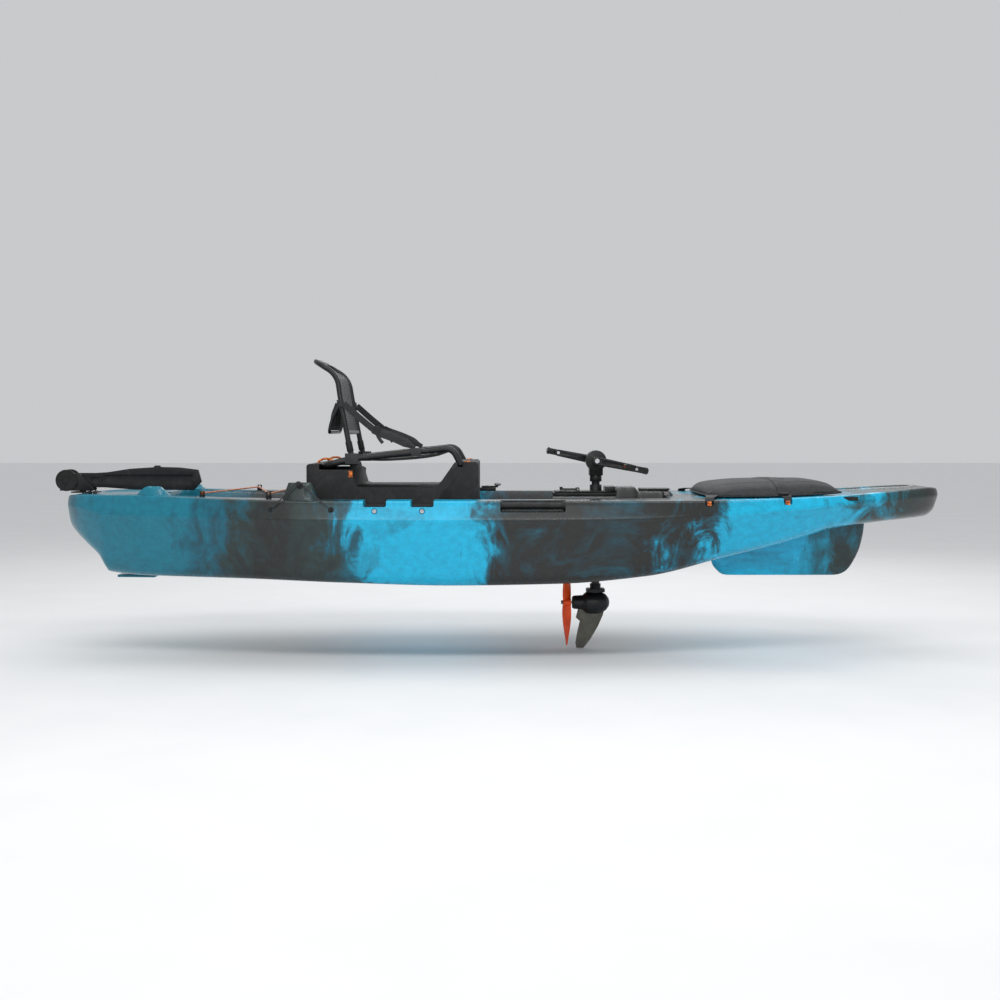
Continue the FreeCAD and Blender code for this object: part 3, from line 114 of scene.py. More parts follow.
class Shader:
    """A material's node tree, with a short call for each kind of node used here."""

    def __init__(self, name):
        self.material = bpy.data.materials.new(name)
        self.material.use_nodes = True
        self.tree = self.material.node_tree
        self.surface = self.tree.nodes["Principled BSDF"]
        self.place = self.node("ShaderNodeTexCoord").outputs["Object"]

    def node(self, kind, **settings):
        item = self.tree.nodes.new(kind)
        for key, value in settings.items():
            setattr(item, key, value)
        return item

    def feed(self, socket, value):
        """Link an output to a socket, or set the socket to a plain value."""
        if isinstance(value, bpy.types.NodeSocket):
            self.tree.links.new(value, socket)
        else:
            socket.default_value = value

    def made(self, kind, output, inputs, **settings):
        """The named output of a new node, after its named inputs are linked or set."""
        item = self.node(kind, **settings)
        for key, value in inputs.items():
            self.feed(item.inputs[key], value)
        return item.outputs[output]

    def constant(self, **sockets):
        for key, value in sockets.items():
            self.surface.inputs[key.replace("_", " ")].default_value = value

    def stretched(self, scale, rotation=(0, 0, 0)):
        return self.made("ShaderNodeMapping", "Vector",
                         {"Vector": self.place, "Scale": scale, "Rotation": rotation})

    def noise(self, scale, detail=4.0, rough=0.55, distortion=0.0, vector=None):
        return self.made("ShaderNodeTexNoise", "Fac", {
            "Vector": vector or self.place, "Scale": scale, "Detail": detail,
            "Roughness": rough, "Distortion": distortion})

    def wave(self, scale, direction, vector, distortion=0.0):
        return self.made("ShaderNodeTexWave", "Fac",
                         {"Vector": vector, "Scale": scale, "Distortion": distortion},
                         bands_direction=direction)

    def maths(self, operation, a, b):
        item = self.node("ShaderNodeMath", operation=operation)
        for socket, value in zip(item.inputs, (a, b)):
            self.feed(socket, value)
        return item.outputs[0]

    def ramp(self, factor, stops):
        item = self.node("ShaderNodeValToRGB")
        elements = item.color_ramp.elements
        for _ in range(len(stops) - 2):
            elements.new(0.5)
        for element, (position, colour) in zip(elements, stops):
            element.position = position
            element.color = (*colour, 1)
        self.feed(item.inputs["Fac"], factor)
        return item.outputs["Color"]

    def span(self, factor, low, high, low_out=0.0, high_out=1.0):
        return self.made("ShaderNodeMapRange", "Result", {
            "Value": factor, "From Min": low, "From Max": high,
            "To Min": low_out, "To Max": high_out})

    def mix(self, factor, a, b, blend="MIX"):
        return self.made("ShaderNodeMix", "Result", {"Factor": factor, "A": a, "B": b},
                         data_type="RGBA", blend_type=blend)

    def colour(self, value):
        self.feed(self.surface.inputs["Base Color"], value)

    def roughness(self, factor, low, high):
        self.feed(self.surface.inputs["Roughness"], self.span(factor, 0.3, 0.7, low, high))

    def bump(self, height, distance, strength=1.0):
        normal = self.made("ShaderNodeBump", "Normal",
                           {"Height": height, "Distance": distance, "Strength": strength})
        self.feed(self.surface.inputs["Normal"], normal)


def tint(colour, factor, lift=0.0):
    return tuple(min(1.0, c * factor + lift) for c in colour)


CHARCOAL = (0.019, 0.020, 0.019)
CHARCOAL_GREEN = (0.023, 0.040, 0.039)
DEEP_TEAL = (0.008, 0.100, 0.150)
TEAL = (0.006, 0.175, 0.255)
CYAN = (0.006, 0.430, 0.680)


def marbled_hull():
    """Rotomoulded polyethylene in cloudy bands of cyan, teal and charcoal along the boat."""
    s = Shader("hull_marble")
    reach = 1.8  # metres from amidships to either end of the bands
    split = s.node("ShaderNodeSeparateXYZ")
    s.feed(split.inputs[0], s.place)
    x, _, z = split.outputs
    cloud = s.noise(2.6, 6.0, 0.62, 0.6)
    slanted = s.stretched((1.0, 1.0, 0.42), (0, math.radians(32), 0))
    streak = s.noise(7.0, 7.0, 0.66, 1.6, slanted)
    shifted = s.maths("ADD", x, s.span(cloud, 0.25, 0.75, -0.15, 0.15))
    shifted = s.maths("ADD", shifted, s.span(streak, 0.25, 0.75, -0.17, 0.17))
    shifted = s.maths("ADD", shifted, s.span(z, 0.0, 0.34, 0.03, -0.03))
    band = s.span(shifted, -reach, reach)
    bands = [(-1.80, DEEP_TEAL), (-1.64, TEAL), (-1.24, TEAL), (-1.13, DEEP_TEAL),
             (-1.02, CHARCOAL_GREEN), (-0.90, CHARCOAL), (-0.66, CHARCOAL_GREEN),
             (-0.57, DEEP_TEAL), (-0.50, CYAN), (-0.12, CYAN), (-0.03, DEEP_TEAL),
             (0.05, CHARCOAL), (0.68, CHARCOAL), (0.75, DEEP_TEAL), (0.81, CYAN),
             (1.29, CYAN), (1.38, TEAL), (1.47, CHARCOAL_GREEN), (1.72, CHARCOAL)]
    base = s.ramp(band, [((place + reach) / (2 * reach), tone) for place, tone in bands])
    patches = s.noise(4.2, 8.0, 0.7, 2.2, s.stretched((0.7, 1.0, 1.3)))
    veil = s.ramp(patches, [(0.36, CHARCOAL_GREEN), (0.50, DEEP_TEAL), (0.66, TEAL)])
    share = s.noise(3.3, 7.0, 0.7, 1.2, s.stretched((1.0, 1.0, 1.6)))
    share = s.span(share, 0.52, 0.74, 0.0, 0.6)
    base = s.mix(share, base, veil)
    mottle = s.noise(38.0, 6.0, 0.7)
    dark = s.ramp(mottle, [(0.30, (0.80, 0.80, 0.80)), (0.62, (1.06, 1.06, 1.06))])
    s.colour(s.mix(1.0, base, dark, "MULTIPLY"))
    s.roughness(s.noise(55.0, 5.0, 0.7), 0.20, 0.32)
    s.constant(Coat_Weight=0.16, Coat_Roughness=0.06, Specular_IOR_Level=0.34)
    grain = s.maths("MULTIPLY", s.noise(700.0, 2.0), 0.006)
    s.bump(s.maths("ADD", s.noise(7.0, 2.0, 0.4), grain), 0.0022, 0.6)
    return s.material


def moulded(name, colour, low=0.38, high=0.55, grain=1500.0, depth=0.00012, coat=0.0):
    """Moulded plastic: a fine grain, uneven gloss, and faint clouds and rubbed places."""
    s = Shader(name)
    worn = tint(colour, 1.45, 0.006)
    dull = tint(colour, 0.78)
    clouds = s.noise(21.0, 6.0, 0.65, 0.4)
    s.colour(s.ramp(clouds, [(0.30, dull), (0.50, colour), (0.74, worn)]))
    s.roughness(s.noise(70.0, 5.0, 0.7), low, high)
    s.constant(Coat_Weight=coat, Coat_Roughness=0.2, Specular_IOR_Level=0.24)
    s.bump(s.noise(grain, 3.0, 0.6), depth)
    return s.material


def metal(name, colour, low, high, axis=(1.0, 1.0, 0.08)):
    """Drawn or turned metal: fine lines along one axis and uneven brightness."""
    s = Shader(name)
    tarnish = tint(colour, 0.62)
    s.colour(s.ramp(s.noise(60.0, 6.0, 0.7), [(0.32, tarnish), (0.58, colour)]))
    lines = s.noise(900.0, 3.0, 0.6, 0.0, s.stretched(axis))
    s.roughness(lines, low, high)
    s.constant(Metallic=1.0)
    s.bump(lines, 0.00003)
    return s.material


# over a strand's width in metres, this is the scale of a wave texture whose waves are about
# three of those widths apart
STRAND_SCALE = 0.314 / math.pi


def woven(name, colour, thread, slant, fuzz, depth):
    """Cloth: crossed threads of that width in metres, with painted highlight on their crowns,
    painted shade between them and a soft sheen.
    """
    s = Shader(name)
    turned = s.stretched((1.0, 1.0, 1.0), (slant, slant, slant))
    scale = STRAND_SCALE / thread
    warp = s.wave(scale, "X", turned, 0.4)
    weft = s.wave(scale, "Y", turned, 0.4)
    rise = s.wave(scale, "Z", turned, 0.4)
    weave = s.maths("MULTIPLY", s.maths("MAXIMUM", warp, rise), s.maths("MAXIMUM", weft, rise))
    light = tint(colour, 1.7, 0.008)
    dark = tint(colour, 0.55)
    # painted shade in the gaps between threads and painted highlight on their crowns
    weave_shade_and_highlight = s.ramp(weave, [(0.15, dark), (0.55, colour), (0.95, light)])
    faded = s.ramp(s.noise(9.0, 6.0, 0.7, 0.5), [(0.35, colour), (0.70, light)])
    s.colour(s.mix(s.span(s.noise(14.0, 4.0), 0.3, 0.7, 0.1, 0.5), weave_shade_and_highlight, faded))
    s.roughness(s.noise(120.0, 3.0), 0.62, 0.86)
    s.constant(Sheen_Weight=fuzz, Sheen_Roughness=0.4)
    s.bump(weave, depth, 0.9)
    return s.material


def braided(name, colour, fleck):
    """Elastic cord with a braided sleeve: two slanting sets of strands, with painted shade
    between them and lighter flecks where both crest.
    """
    s = Shader(name)
    scale = STRAND_SCALE / 0.0035
    one = s.wave(scale, "DIAGONAL", s.stretched((1.0, 1.0, 1.0)))
    two = s.wave(scale, "DIAGONAL", s.stretched((-1.0, 1.0, 1.0)))
    strands = s.maths("MULTIPLY", one, two)
    # painted shade in the gaps between strands; lighter flecks at their highest crests
    dark = tint(colour, 0.45)
    s.colour(s.ramp(strands, [(0.05, dark), (0.4, colour), (0.93, colour), (0.97, fleck)]))
    s.roughness(s.noise(300.0, 3.0), 0.5, 0.7)
    s.constant(Sheen_Weight=0.3, Sheen_Roughness=0.4)
    s.bump(strands, 0.0005, 0.8)
    return s.material


def prism_orange():
    """A pedal reflector: moulded corner prisms under a clear orange face, with a painted
    reflection that makes each prism bright at its middle and darker at its edges.
    """
    s = Shader("reflector_orange")
    cells = s.made("ShaderNodeTexVoronoi", "Distance",
                   {"Vector": s.place, "Scale": 330.0, "Randomness": 0.0}, distance="CHEBYCHEV")
    # painted reflection: each prism bright at its middle, darker towards its edges
    s.colour(s.ramp(cells, [(0.1, (0.95, 0.22, 0.02)), (0.6, (0.62, 0.09, 0.01))]))
    s.roughness(s.noise(90.0), 0.12, 0.24)
    s.constant(Coat_Weight=0.7, Coat_Roughness=0.05)
    s.bump(cells, 0.0006)
    return s.material


HULL = marbled_hull()
BLACK = moulded("black_moulded", (0.0135, 0.0135, 0.014), 0.34, 0.52)
RISER = moulded("riser_black", (0.017, 0.017, 0.018), 0.50, 0.68, 700.0, 0.00035)
DRIVE_BLACK = moulded("drive_black", (0.010, 0.010, 0.011), 0.30, 0.46, 1200.0, 0.0001, 0.15)
RUDDER_BLACK = moulded("rudder_black", (0.014, 0.014, 0.0145), 0.42, 0.60, 500.0, 0.0004)
FIN = moulded("fin_grey", (0.115, 0.110, 0.092), 0.40, 0.58, 600.0, 0.0003)
KNOB = moulded("knob_grey", (0.20, 0.21, 0.22), 0.36, 0.52, 800.0, 0.0002)
BRACKET = moulded("bracket_grey", (0.030, 0.031, 0.033), 0.36, 0.50, 800.0, 0.0002)
PROPELLER = moulded("propeller_orange", (1.00, 0.085, 0.010), 0.26, 0.40, 300.0, 0.0002, 0.25)
TUBE = moulded("tube_black", (0.0115, 0.0115, 0.0125), 0.28, 0.42, 2200.0, 0.00006, 0.2)
STEEL = metal("steel", (0.62, 0.63, 0.65), 0.22, 0.38)
BRASS = metal("brass", (0.78, 0.55, 0.26), 0.24, 0.40, (0.08, 1.0, 1.0))
MESH = woven("seat_mesh", (0.012, 0.012, 0.0135), 0.0032, 0.0, 0.08, 0.0008)
CANVAS = woven("cover_cloth", (0.0125, 0.013, 0.0145), 0.0016, math.radians(45), 0.08, 0.00025)
WEBBING = woven("webbing", (0.0105, 0.0105, 0.0115), 0.0024, math.radians(30), 0.07, 0.0005)
PADDING = woven("strap_padding", (0.015, 0.015, 0.017), 0.0020, 0.0, 0.10, 0.0004)
ORANGE_CORD = braided("orange_cord", (0.86, 0.20, 0.015), (1.0, 0.55, 0.18))
BLACK_CORD = braided("black_cord", (0.012, 0.012, 0.013), (0.12, 0.12, 0.12))
REFLECTOR = prism_orange()


# ---------------------------------------------------------------- mesh helpers

SAME_PLACE = 0.00002  # points nearer than this, in metres, are one point
HARD_EDGE = 34  # degrees from which an edge is rounded


def added(name, data):
    item = bpy.data.objects.new(name, data)
    scene.collection.objects.link(item)
    return item


def finished(name, data, body, replaces=()):
    """Make a mesh or curve a piece, attached to its body; one given None as its body is left
    unattached.
    """
    item = added(name, data)
    if body:
        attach(item, body)
    if replaces:
        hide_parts(*replaces)
    return item


def place_mesh(name, mesh, body, material, replaces=(), smooth_angle=32):
    """Give a mesh its material, smooth it but for its hard edges and make it a piece."""
    mesh.materials.clear()
    mesh.materials.append(material)
    mesh.shade_smooth()
    mesh.set_sharp_from_angle(angle=math.radians(smooth_angle))
    return finished(name, mesh, body, replaces)


def grid_mesh(name, rows, capped=True):
    """A mesh of quads over closed rings of points in millimetres, capped at its two ends."""
    count = len(rows[0])
    points = [metres(point) for row in rows for point in row]
    faces = []
    for r in range(len(rows) - 1):
        for c in range(count):
            d = (c + 1) % count
            faces.append((r * count + c, r * count + d, (r + 1) * count + d, (r + 1) * count + c))
    if capped:
        faces.append(tuple(reversed(range(count))))
        faces.append(tuple((len(rows) - 1) * count + c for c in range(count)))
    mesh = bpy.data.meshes.new(name)
    mesh.from_pydata(points, [], faces)
    mesh.update()
    form = bmesh.new()
    form.from_mesh(mesh)
    bmesh.ops.remove_doubles(form, verts=form.verts, dist=SAME_PLACE)
    bmesh.ops.recalc_face_normals(form, faces=form.faces)
    form.to_mesh(mesh)
    form.free()
    return mesh


def applied(item):
    """The item's mesh with its modifiers applied; the item itself is removed."""
    depsgraph = bpy.context.evaluated_depsgraph_get()
    depsgraph.update()
    mesh = bpy.data.meshes.new_from_object(item.evaluated_get(depsgraph))
    mesh.name = item.name
    bpy.data.objects.remove(item)
    return mesh


def draft(name, data):
    """An object to put modifiers on, before applied() takes its mesh."""
    return added(name + "_draft", data)


def rounded_edges(mesh, width, segments=3):
    """The mesh with its hard edges rounded over that width in millimetres."""
    item = draft(mesh.name, mesh)
    edge = item.modifiers.new("edge", "BEVEL")
    edge.width = width * MM
    edge.segments = segments
    edge.limit_method = "ANGLE"
    edge.angle_limit = math.radians(HARD_EDGE)
    edge.miter_outer = "MITER_ARC"
    return applied(item)


def softened(node, body, width, material):
    """The CAD part's own shape with every hard edge rounded, standing for that node."""
    form = bmesh.new()
    form.from_mesh(NODES[node].data)
    bmesh.ops.remove_doubles(form, verts=form.verts, dist=SAME_PLACE)
    bmesh.ops.dissolve_limit(form, angle_limit=math.radians(0.6), verts=form.verts,
                             edges=form.edges)
    mesh = bpy.data.meshes.new(node)
    form.to_mesh(mesh)
    form.free()
    place_mesh(node + "_moulded", rounded_edges(mesh, width, 2), body, material, (node,))


def box_mesh(name, low, high, width, side=1):
    """A block between two corners in millimetres with its edges rounded; side -1 mirrors it."""
    (x0, y0, z0), (x1, y1, z1) = low, high
    y0, y1 = sorted((side * y0, side * y1))
    rows = [[(x, y0, z0), (x, y1, z0), (x, y1, z1), (x, y0, z1)] for x in (x0, x1)]
    return rounded_edges(grid_mesh(name, rows), width)


def rod_mesh(name, start, end, radius, sides=40):
    """A round rod between two points in millimetres."""
    start, end = Vector(start), Vector(end)
    way = (end - start).normalized()
    across = way.orthogonal().normalized()
    other = way.cross(across)
    ring = [across * math.cos(a) * radius + other * math.sin(a) * radius
            for a in (2 * math.pi * i / sides for i in range(sides))]
    rows = [[tuple(centre + offset) for offset in ring] for centre in (start, end)]
    return grid_mesh(name, rows)


def joined_mesh(name, meshes):
    """One mesh of several, each still its own closed form."""
    form = bmesh.new()
    for mesh in meshes:
        form.from_mesh(mesh)
    whole = bpy.data.meshes.new(name)
    form.to_mesh(whole)
    form.free()
    return whole


# ---------------------------------------------------------------- hull

# distance from amidships, keel height, half breadth and height of the bilge, half breadth of
# the shoulder, half breadth and height of the gunwale
STATIONS = [
    (-1722, 216, 60, 222, 92, 80, 316), (-1706, 200, 92, 208, 142, 130, 341),
    (-1640, 145, 150, 157, 210, 196, 348), (-1580, 90, 180, 108, 245, 231, 350),
    (-1540, 25, 195, 52, 262, 248, 350), (-1400, 14, 245, 42, 320, 305, 352),
    (-1000, 8, 330, 37, 412, 396, 341), (-600, 3, 385, 25, 455, 438, 337),
    (-200, 0, 400, 15, 463, 446, 337), (200, 3, 395, 21, 461, 444, 337),
    (550, 25, 360, 48, 445, 428, 337), (850, 92, 315, 117, 408, 392, 338),
    (1090, 148, 270, 170, 356, 341, 342), (1300, 205, 225, 224, 298, 284, 349),
    (1450, 228, 185, 241, 253, 240, 358), (1600, 243, 140, 254, 205, 193, 369),
    (1676, 252, 100, 262, 162, 150, 373), (1711, 272, 70, 282, 122, 110, 368),
    (1718, 300, 50, 306, 95, 84, 350),
]
SHOULDER_DROP = 0.22
WELLS = [  # outline of half breadths, floor height
    ([(-1320, 215), (-1260, 250), (-822, 300)], 190),
    ([(-768, 330), (-120, 345), (200, 332), (640, 250)], 110),
    ([(790, 250), (1100, 215), (1215, 170)], 225),
]
WALL = 16
CONSOLE_HALF = 62
CONSOLE_TOP = [(186, 110), (198, 337), (446, 337), (458, 372), (524, 373), (540, 352), (550, 357),
               (664, 357), (682, 337)]
EDGE_STEPS = 5
DECK_RISE = 1.5  # from the gunwale's corner to the deck inside it
BOW_SINK, STERN_SINK = 9, 7  # how far the deck at each end lies below its rim
ROD_SHOULDER, STERN_HUMP = 64, 33  # how far these stand above the deck


def rounded(before, corner, after, radius, steps):
    """Points round a corner of a section, cut back by the radius along both sides."""
    before, corner, after = (Vector(p) for p in (before, corner, after))
    back = min(radius, (before - corner).length * 0.46)
    on = min(radius, (after - corner).length * 0.46)
    start = corner + (before - corner).normalized() * back
    end = corner + (after - corner).normalized() * on
    points = []
    for i in range(steps + 1):
        t = i / steps
        points.append(start * (1 - t) ** 2 + corner * 2 * t * (1 - t) + end * t * t)
    return points


def run(start, end, steps):
    """Points between two points, leaving out both."""
    start, end = Vector(start), Vector(end)
    return [start.lerp(end, i / steps) for i in range(1, steps)]


def well_at(x):
    """Half breadth of the well at x, how open it is there from 0 to 1, and its floor."""
    best = (200.0, 0.0, 300.0)
    for outline, floor in WELLS:
        first, last = outline[0][0], outline[-1][0]
        opened = smooth(x, first - 2, first + WALL) * smooth(x, last + 2, last - WALL)
        if first - 60 <= x <= last + 60:
            best = (float(along(outline, x)[0]), opened, float(floor))
    return best


def bump_between(value, low, high, edge):
    """1 between low and high, with a slope of the edge's width inside each."""
    return smooth(value, low, low + edge) * smooth(value, high, high - edge)


def deck_height(x, y, rail_half, rail_z):
    """Height of the deck at a point: rim, wells, console, rod shoulders and stern humps."""
    half, opened, floor = well_at(x)
    inside = smooth(y, half + 4, half - 10)
    bow = smooth(x, 1225, 1290) * smooth(x, 1702, 1660)
    bow *= smooth(y, rail_half - 14, rail_half - 44)
    stern = smooth(x, -1345, -1400) * smooth(x, -1670, -1630)
    stern *= smooth(y, rail_half - 16, rail_half - 40)
    z = rail_z + DECK_RISE - BOW_SINK * bow - STERN_SINK * stern
    z += (floor - z) * inside * opened
    if 180 < x < 700:
        top = float(np.interp(x, *zip(*CONSOLE_TOP)))
        if x > 664:
            top = max(top, rail_z)
        raised = smooth(y, CONSOLE_HALF + 6, CONSOLE_HALF - 6)
        z += (max(top, z) - z) * raised
    z += ROD_SHOULDER * bump_between(x, -824, -690, 26) * bump_between(y, 348, 424, 14)
    z += STERN_HUMP * bump_between(x, -1402, -1258, 50) * bump_between(y, 272, 318, 16)
    return z


def half_section(x):
    """Half a section of the hull: from the keel, up the side and in to the deck's middle."""
    keel, bilge_y, bilge_z, shoulder_y, rail_y, rail_z = (float(v) for v in along(STATIONS, x))
    shoulder_z = rail_z - SHOULDER_DROP * (rail_z - keel)
    keel_point, bilge = (0.0, keel), (bilge_y, bilge_z)
    shoulder, rail = (shoulder_y, shoulder_z), (rail_y, rail_z)
    points = [Vector(keel_point)]
    bend = rounded(keel_point, bilge, shoulder, 46, EDGE_STEPS + 2)
    points += run(keel_point, bend[0], 9) + bend
    ledge = rounded(bilge, shoulder, rail, 11, EDGE_STEPS)
    points += run(bend[-1], ledge[0], 9) + ledge
    top_in = (rail_y - 40, rail_z + DECK_RISE)
    lip = rounded(shoulder, rail, top_in, 9, EDGE_STEPS)
    points += run(ledge[-1], lip[0], 5) + lip
    inner = float(lip[-1].x)
    half = min(well_at(x)[0], inner - 12)
    places = list(np.linspace(inner, half + 8, 13)[1:])
    places += [half + step for step in (4, 1.5, -1, -4, -7, -10)]
    places += list(np.linspace(half - 10, CONSOLE_HALF + 14, 9)[1:])
    places += [CONSOLE_HALF + step for step in (7, 4, 1.5, -1.5, -4, -7)]
    places += list(np.linspace(CONSOLE_HALF - 7, 0, 7)[1:])
    if half - 10 < CONSOLE_HALF + 14:
        places = list(np.linspace(inner, 0, len(places) + 1)[1:])
    points += [Vector((y, deck_height(x, y, rail_y, rail_z))) for y in places]
    return points


def hull_places():
    """Where the hull's sections are along the boat: closer at its ends and the deck's steps."""
    places = set(np.round(np.linspace(-1722, 1718, 232), 1))
    steps = [-824, -798, -716, -690, -1393, -1371, -1300, -1278, 186, 198, 446, 458, 524, 540,
             550, 664, 682]
    for outline, _ in WELLS:
        for end, way in ((outline[0][0], 1), (outline[-1][0], -1)):
            steps += [end - 2 * way + way * WALL * i / 6 for i in range(8)]
    steps += [-1720, -1716, -1711, 1716.5, 1714, 1708, 1700]
    places.update(float(x) for x in steps)
    ordered = sorted(places)
    kept = [ordered[0]]
    for x in ordered[1:]:
        if x - kept[-1] > 1.2:
            kept.append(x)
    return kept


def hull_shell():
    """The hull's closed form, before anything is cut from it."""
    rows = []
    for x in hull_places():
        half = half_section(x)
        ring = [(x, y, z) for y, z in half]
        ring += [(x, -y, z) for y, z in reversed(half[1:-1])]
        rows.append(ring)
    return grid_mesh("hull_shell", rows)


def hull_cutters():
    """Everything cut from the hull: wells, tunnel, scuppers, bores, bolt seats and notches."""
    tools = [box_mesh("drive_well", (218, -54, -120), (440, 54, 420), 8),
             box_mesh("dry_bin", (562, -40, 300), (646, 40, 420), 6),
             rod_mesh("tunnel", (222, 0, -96), (296, 0, -96), 190, 72)]
    for _, side in SIDES:
        for x, y in ((-1180, 150), (-940, 170)):
            tools.append(rod_mesh("scupper", (x, side * y, -60), (x, side * y, 260), 16))
        lean = Vector((-math.sin(math.radians(20)), 0, math.cos(math.radians(20))))
        mouth = Vector((-757, side * 388, 402))
        tools.append(rod_mesh("rod_bore", mouth - lean * 155, mouth + lean * 60, 21))
        for x in (-476, -300):
            tools.append(rod_mesh("bolt_seat", (x, side * 444, 300), (x, side * 482, 300), 11))
        notches = [((-11, 405, 296), (230, 520, 420)), ((-519, 330, 315), (-433, 520, 420)),
                   ((-343, 330, 315), (-257, 520, 420)), ((751, 384, 318), (785, 460, 420)),
                   ((1056, 326, 318), (1090, 400, 420))]
        tools += [box_mesh("notch", low, high, 7, side) for low, high in notches]
    return joined_mesh("hull_cutters", tools)


def make_hull():
    item = draft("hull", hull_shell())
    tool = draft("cutters", hull_cutters())
    change = item.modifiers.new("cut", "BOOLEAN")
    change.operation = "DIFFERENCE"
    change.solver = "EXACT"
    change.use_self = True
    change.object = tool
    mesh = applied(item)
    bpy.data.objects.remove(tool)
    place_mesh("hull_shell", mesh, "hull_body", HULL, ("hull",), 28)


# height, rear end, front end and half thickness of the keel under the bow
KEEL = [(15.2, 902, 1338, 8), (18, 886, 1356, 18), (32, 866, 1384, 26), (60, 844, 1407, 34),
        (130, 828, 1439, 48), (200, 826, 1453, 60), (262, 826, 1457, 70)]


def make_bow_keel():
    """The deep keel under the bow: full at its rear and drawn to an edge at its front."""
    rows = []
    for z in (*np.linspace(KEEL[0][0], 40, 9), *np.linspace(48, KEEL[-1][0], 18)):
        rear, front, half = (float(v) for v in along(KEEL, z))
        ring = []
        for i in range(56):
            angle = 2 * math.pi * i / 56
            x = (rear + front) / 2 - (front - rear) / 2 * math.cos(angle)
            fullness = abs(math.sin(angle)) ** 0.62 * (1 - 0.32 * (x - rear) / (front - rear))
            ring.append((x, math.copysign(half * fullness, math.sin(angle)), z))
        rows.append(ring)
    place_mesh("bow_keel", grid_mesh("bow_keel", rows), "hull_body", HULL, (), 40)


# ---------------------------------------------------------------- cords

def nurbs_curve(name, points, radius, material):
    """A round curve on one smooth spline whose control points are given in millimetres."""
    curve = bpy.data.curves.new(name, "CURVE")
    curve.dimensions = "3D"
    spline = curve.splines.new("NURBS")
    spline.points.add(len(points) - 1)
    for point, place in zip(spline.points, points):
        point.co = (*metres(place), 1)
    spline.order_u = 3
    curve.bevel_depth = radius * MM
    curve.materials.append(material)
    return curve


def cord_curve(name, route, radius, material):
    """An elastic cord along its route, from its first point to its last."""
    curve = nurbs_curve(name, route, radius, material)
    spline = curve.splines[0]
    spline.use_endpoint_u = True
    spline.resolution_u = 10
    curve.bevel_resolution = 5
    curve.use_fill_caps = True
    return curve


def make_side_cords():
    """The black V over each rod holder's shoulder, from eye to eye over the top eye."""
    for name, side in SIDES:
        route = [(-854, 433, 314), (-790, 434, 374), (-765, 435, 408), (-749, 436, 408),
                 (-720, 442, 374), (-647, 456, 314)]
        route = [(x, side * y, z) for x, y, z in route]
        cord = cord_curve("side_cord", route, 2.5, BLACK_CORD)
        item = finished(f"side_cord_{name}", cord, "hull_body", ("side_cords",))


BUNGEE = [(-1145, -278), (-1035, 291), (-885, -320), (-865, 323)]
BUNGEE_Z = 359
BUNGEE_BEND = 18  # from each loop to the route's points beside it


def make_rear_bungee():
    """The orange cord that zigzags over the rear tankwell between its deck loops."""
    route = [(*BUNGEE[0], BUNGEE_Z)]
    for before, corner, after in zip(BUNGEE, BUNGEE[1:], BUNGEE[2:]):
        corner = Vector(corner)
        for other in (before, after):
            way = (Vector(other) - corner).normalized()
            route.append((*(corner + way * BUNGEE_BEND), BUNGEE_Z))
    route.append((*BUNGEE[-1], BUNGEE_Z))
    cord = cord_curve("rear_bungee", route, 3, ORANGE_CORD)
    item = finished("rear_bungee_cord", cord, "hull_body", ("rear_bungee",))


def make_bungee_knots():
    """The knot in the rear cord at each of its ends."""
    for name, (x, y) in (("first", BUNGEE[0]), ("last", BUNGEE[-1])):
        knot = rod_mesh("knot", (x, y - 8, BUNGEE_Z), (x, y + 8, BUNGEE_Z), 8.5)
        place_mesh(f"bungee_knot_{name}", rounded_edges(knot, 5.0), "hull_body", ORANGE_CORD,
                   (), 60)


def make_seat_loops():
    """The orange elastic loops that hold the seat's rear tube down on the riser."""
    for name, side in SIDES:
        y = side * 150
        line = [(-724, 472), (-714, 483), (-691, 489), (-668, 483), (-658, 472)]
        loop = cord_curve("seat_loop", [(x, y, z) for x, z in line], 4.4, ORANGE_CORD)
        item = place_mesh(f"seat_loop_{name}", applied(draft("seat_loop", loop)), None,
                          ORANGE_CORD, ("seat_bungees",), 60)
        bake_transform(item)


# ---------------------------------------------------------------- seat

def line_at(line, at):
    """The point that many points along a line in the XZ plane, and the way across it there."""
    table = [(i, *point) for i, point in enumerate(line)]
    last = len(line) - 1
    ahead = along(table, min(at + 0.02, last)) - along(table, max(at - 0.02, 0))
    return along(table, at), Vector((-ahead[1], ahead[0])).normalized()


def ribbon_mesh(name, line, low, high, thick, across, crown, steps):
    """A flat strip along a line in the XZ plane, crowned by that much across its width."""
    rows = []
    for k in range(steps + 1):
        (x, z), out = line_at(line, (len(line) - 1) * k / steps)
        ring = []
        for face in (1, -1):
            for c in range(across + 1):
                t = c / across if face > 0 else 1 - c / across
                shift = out * (face * thick / 2 + crown * (1 - (2 * t - 1) ** 2))
                ring.append((x + shift.x, low + (high - low) * t, z + shift.y))
        rows.append(ring)
    return grid_mesh(name, rows)


def make_seat_sling():
    """The seat's mesh sling, laced tight to both rails and sagging between them."""
    line = [(-652, 482), (-584, 489), (-480, 486), (-360, 492), (-270, 504), (-220, 520)]
    mesh = ribbon_mesh("seat_sling", line, -224, 224, 2.4, 36, -9, 48)
    item = place_mesh("seat_sling_cloth", mesh, "seat", MESH, ("seat_sling",), 50)
    for name, side in SIDES:
        hem = ribbon_mesh(f"hem_{name}", [(-546, 488), *line[2:]], side * 203, side * 227, 4.4,
                          4, 0.6, 48)
        place_mesh(f"sling_hem_{name}", hem, "seat", WEBBING, (), 50)
    for k, x in enumerate((-560, -460, -360, -270)):
        z = float(np.interp(x, *zip(*line)))
        band = ribbon_mesh(f"band_{k}", [(x - 13, z + 1.6), (x + 13, z + 2.2)], -206, 206, 2.6,
                           20, -9, 6)
        place_mesh(f"sling_band_{k}", band, "seat", WEBBING, (), 50)


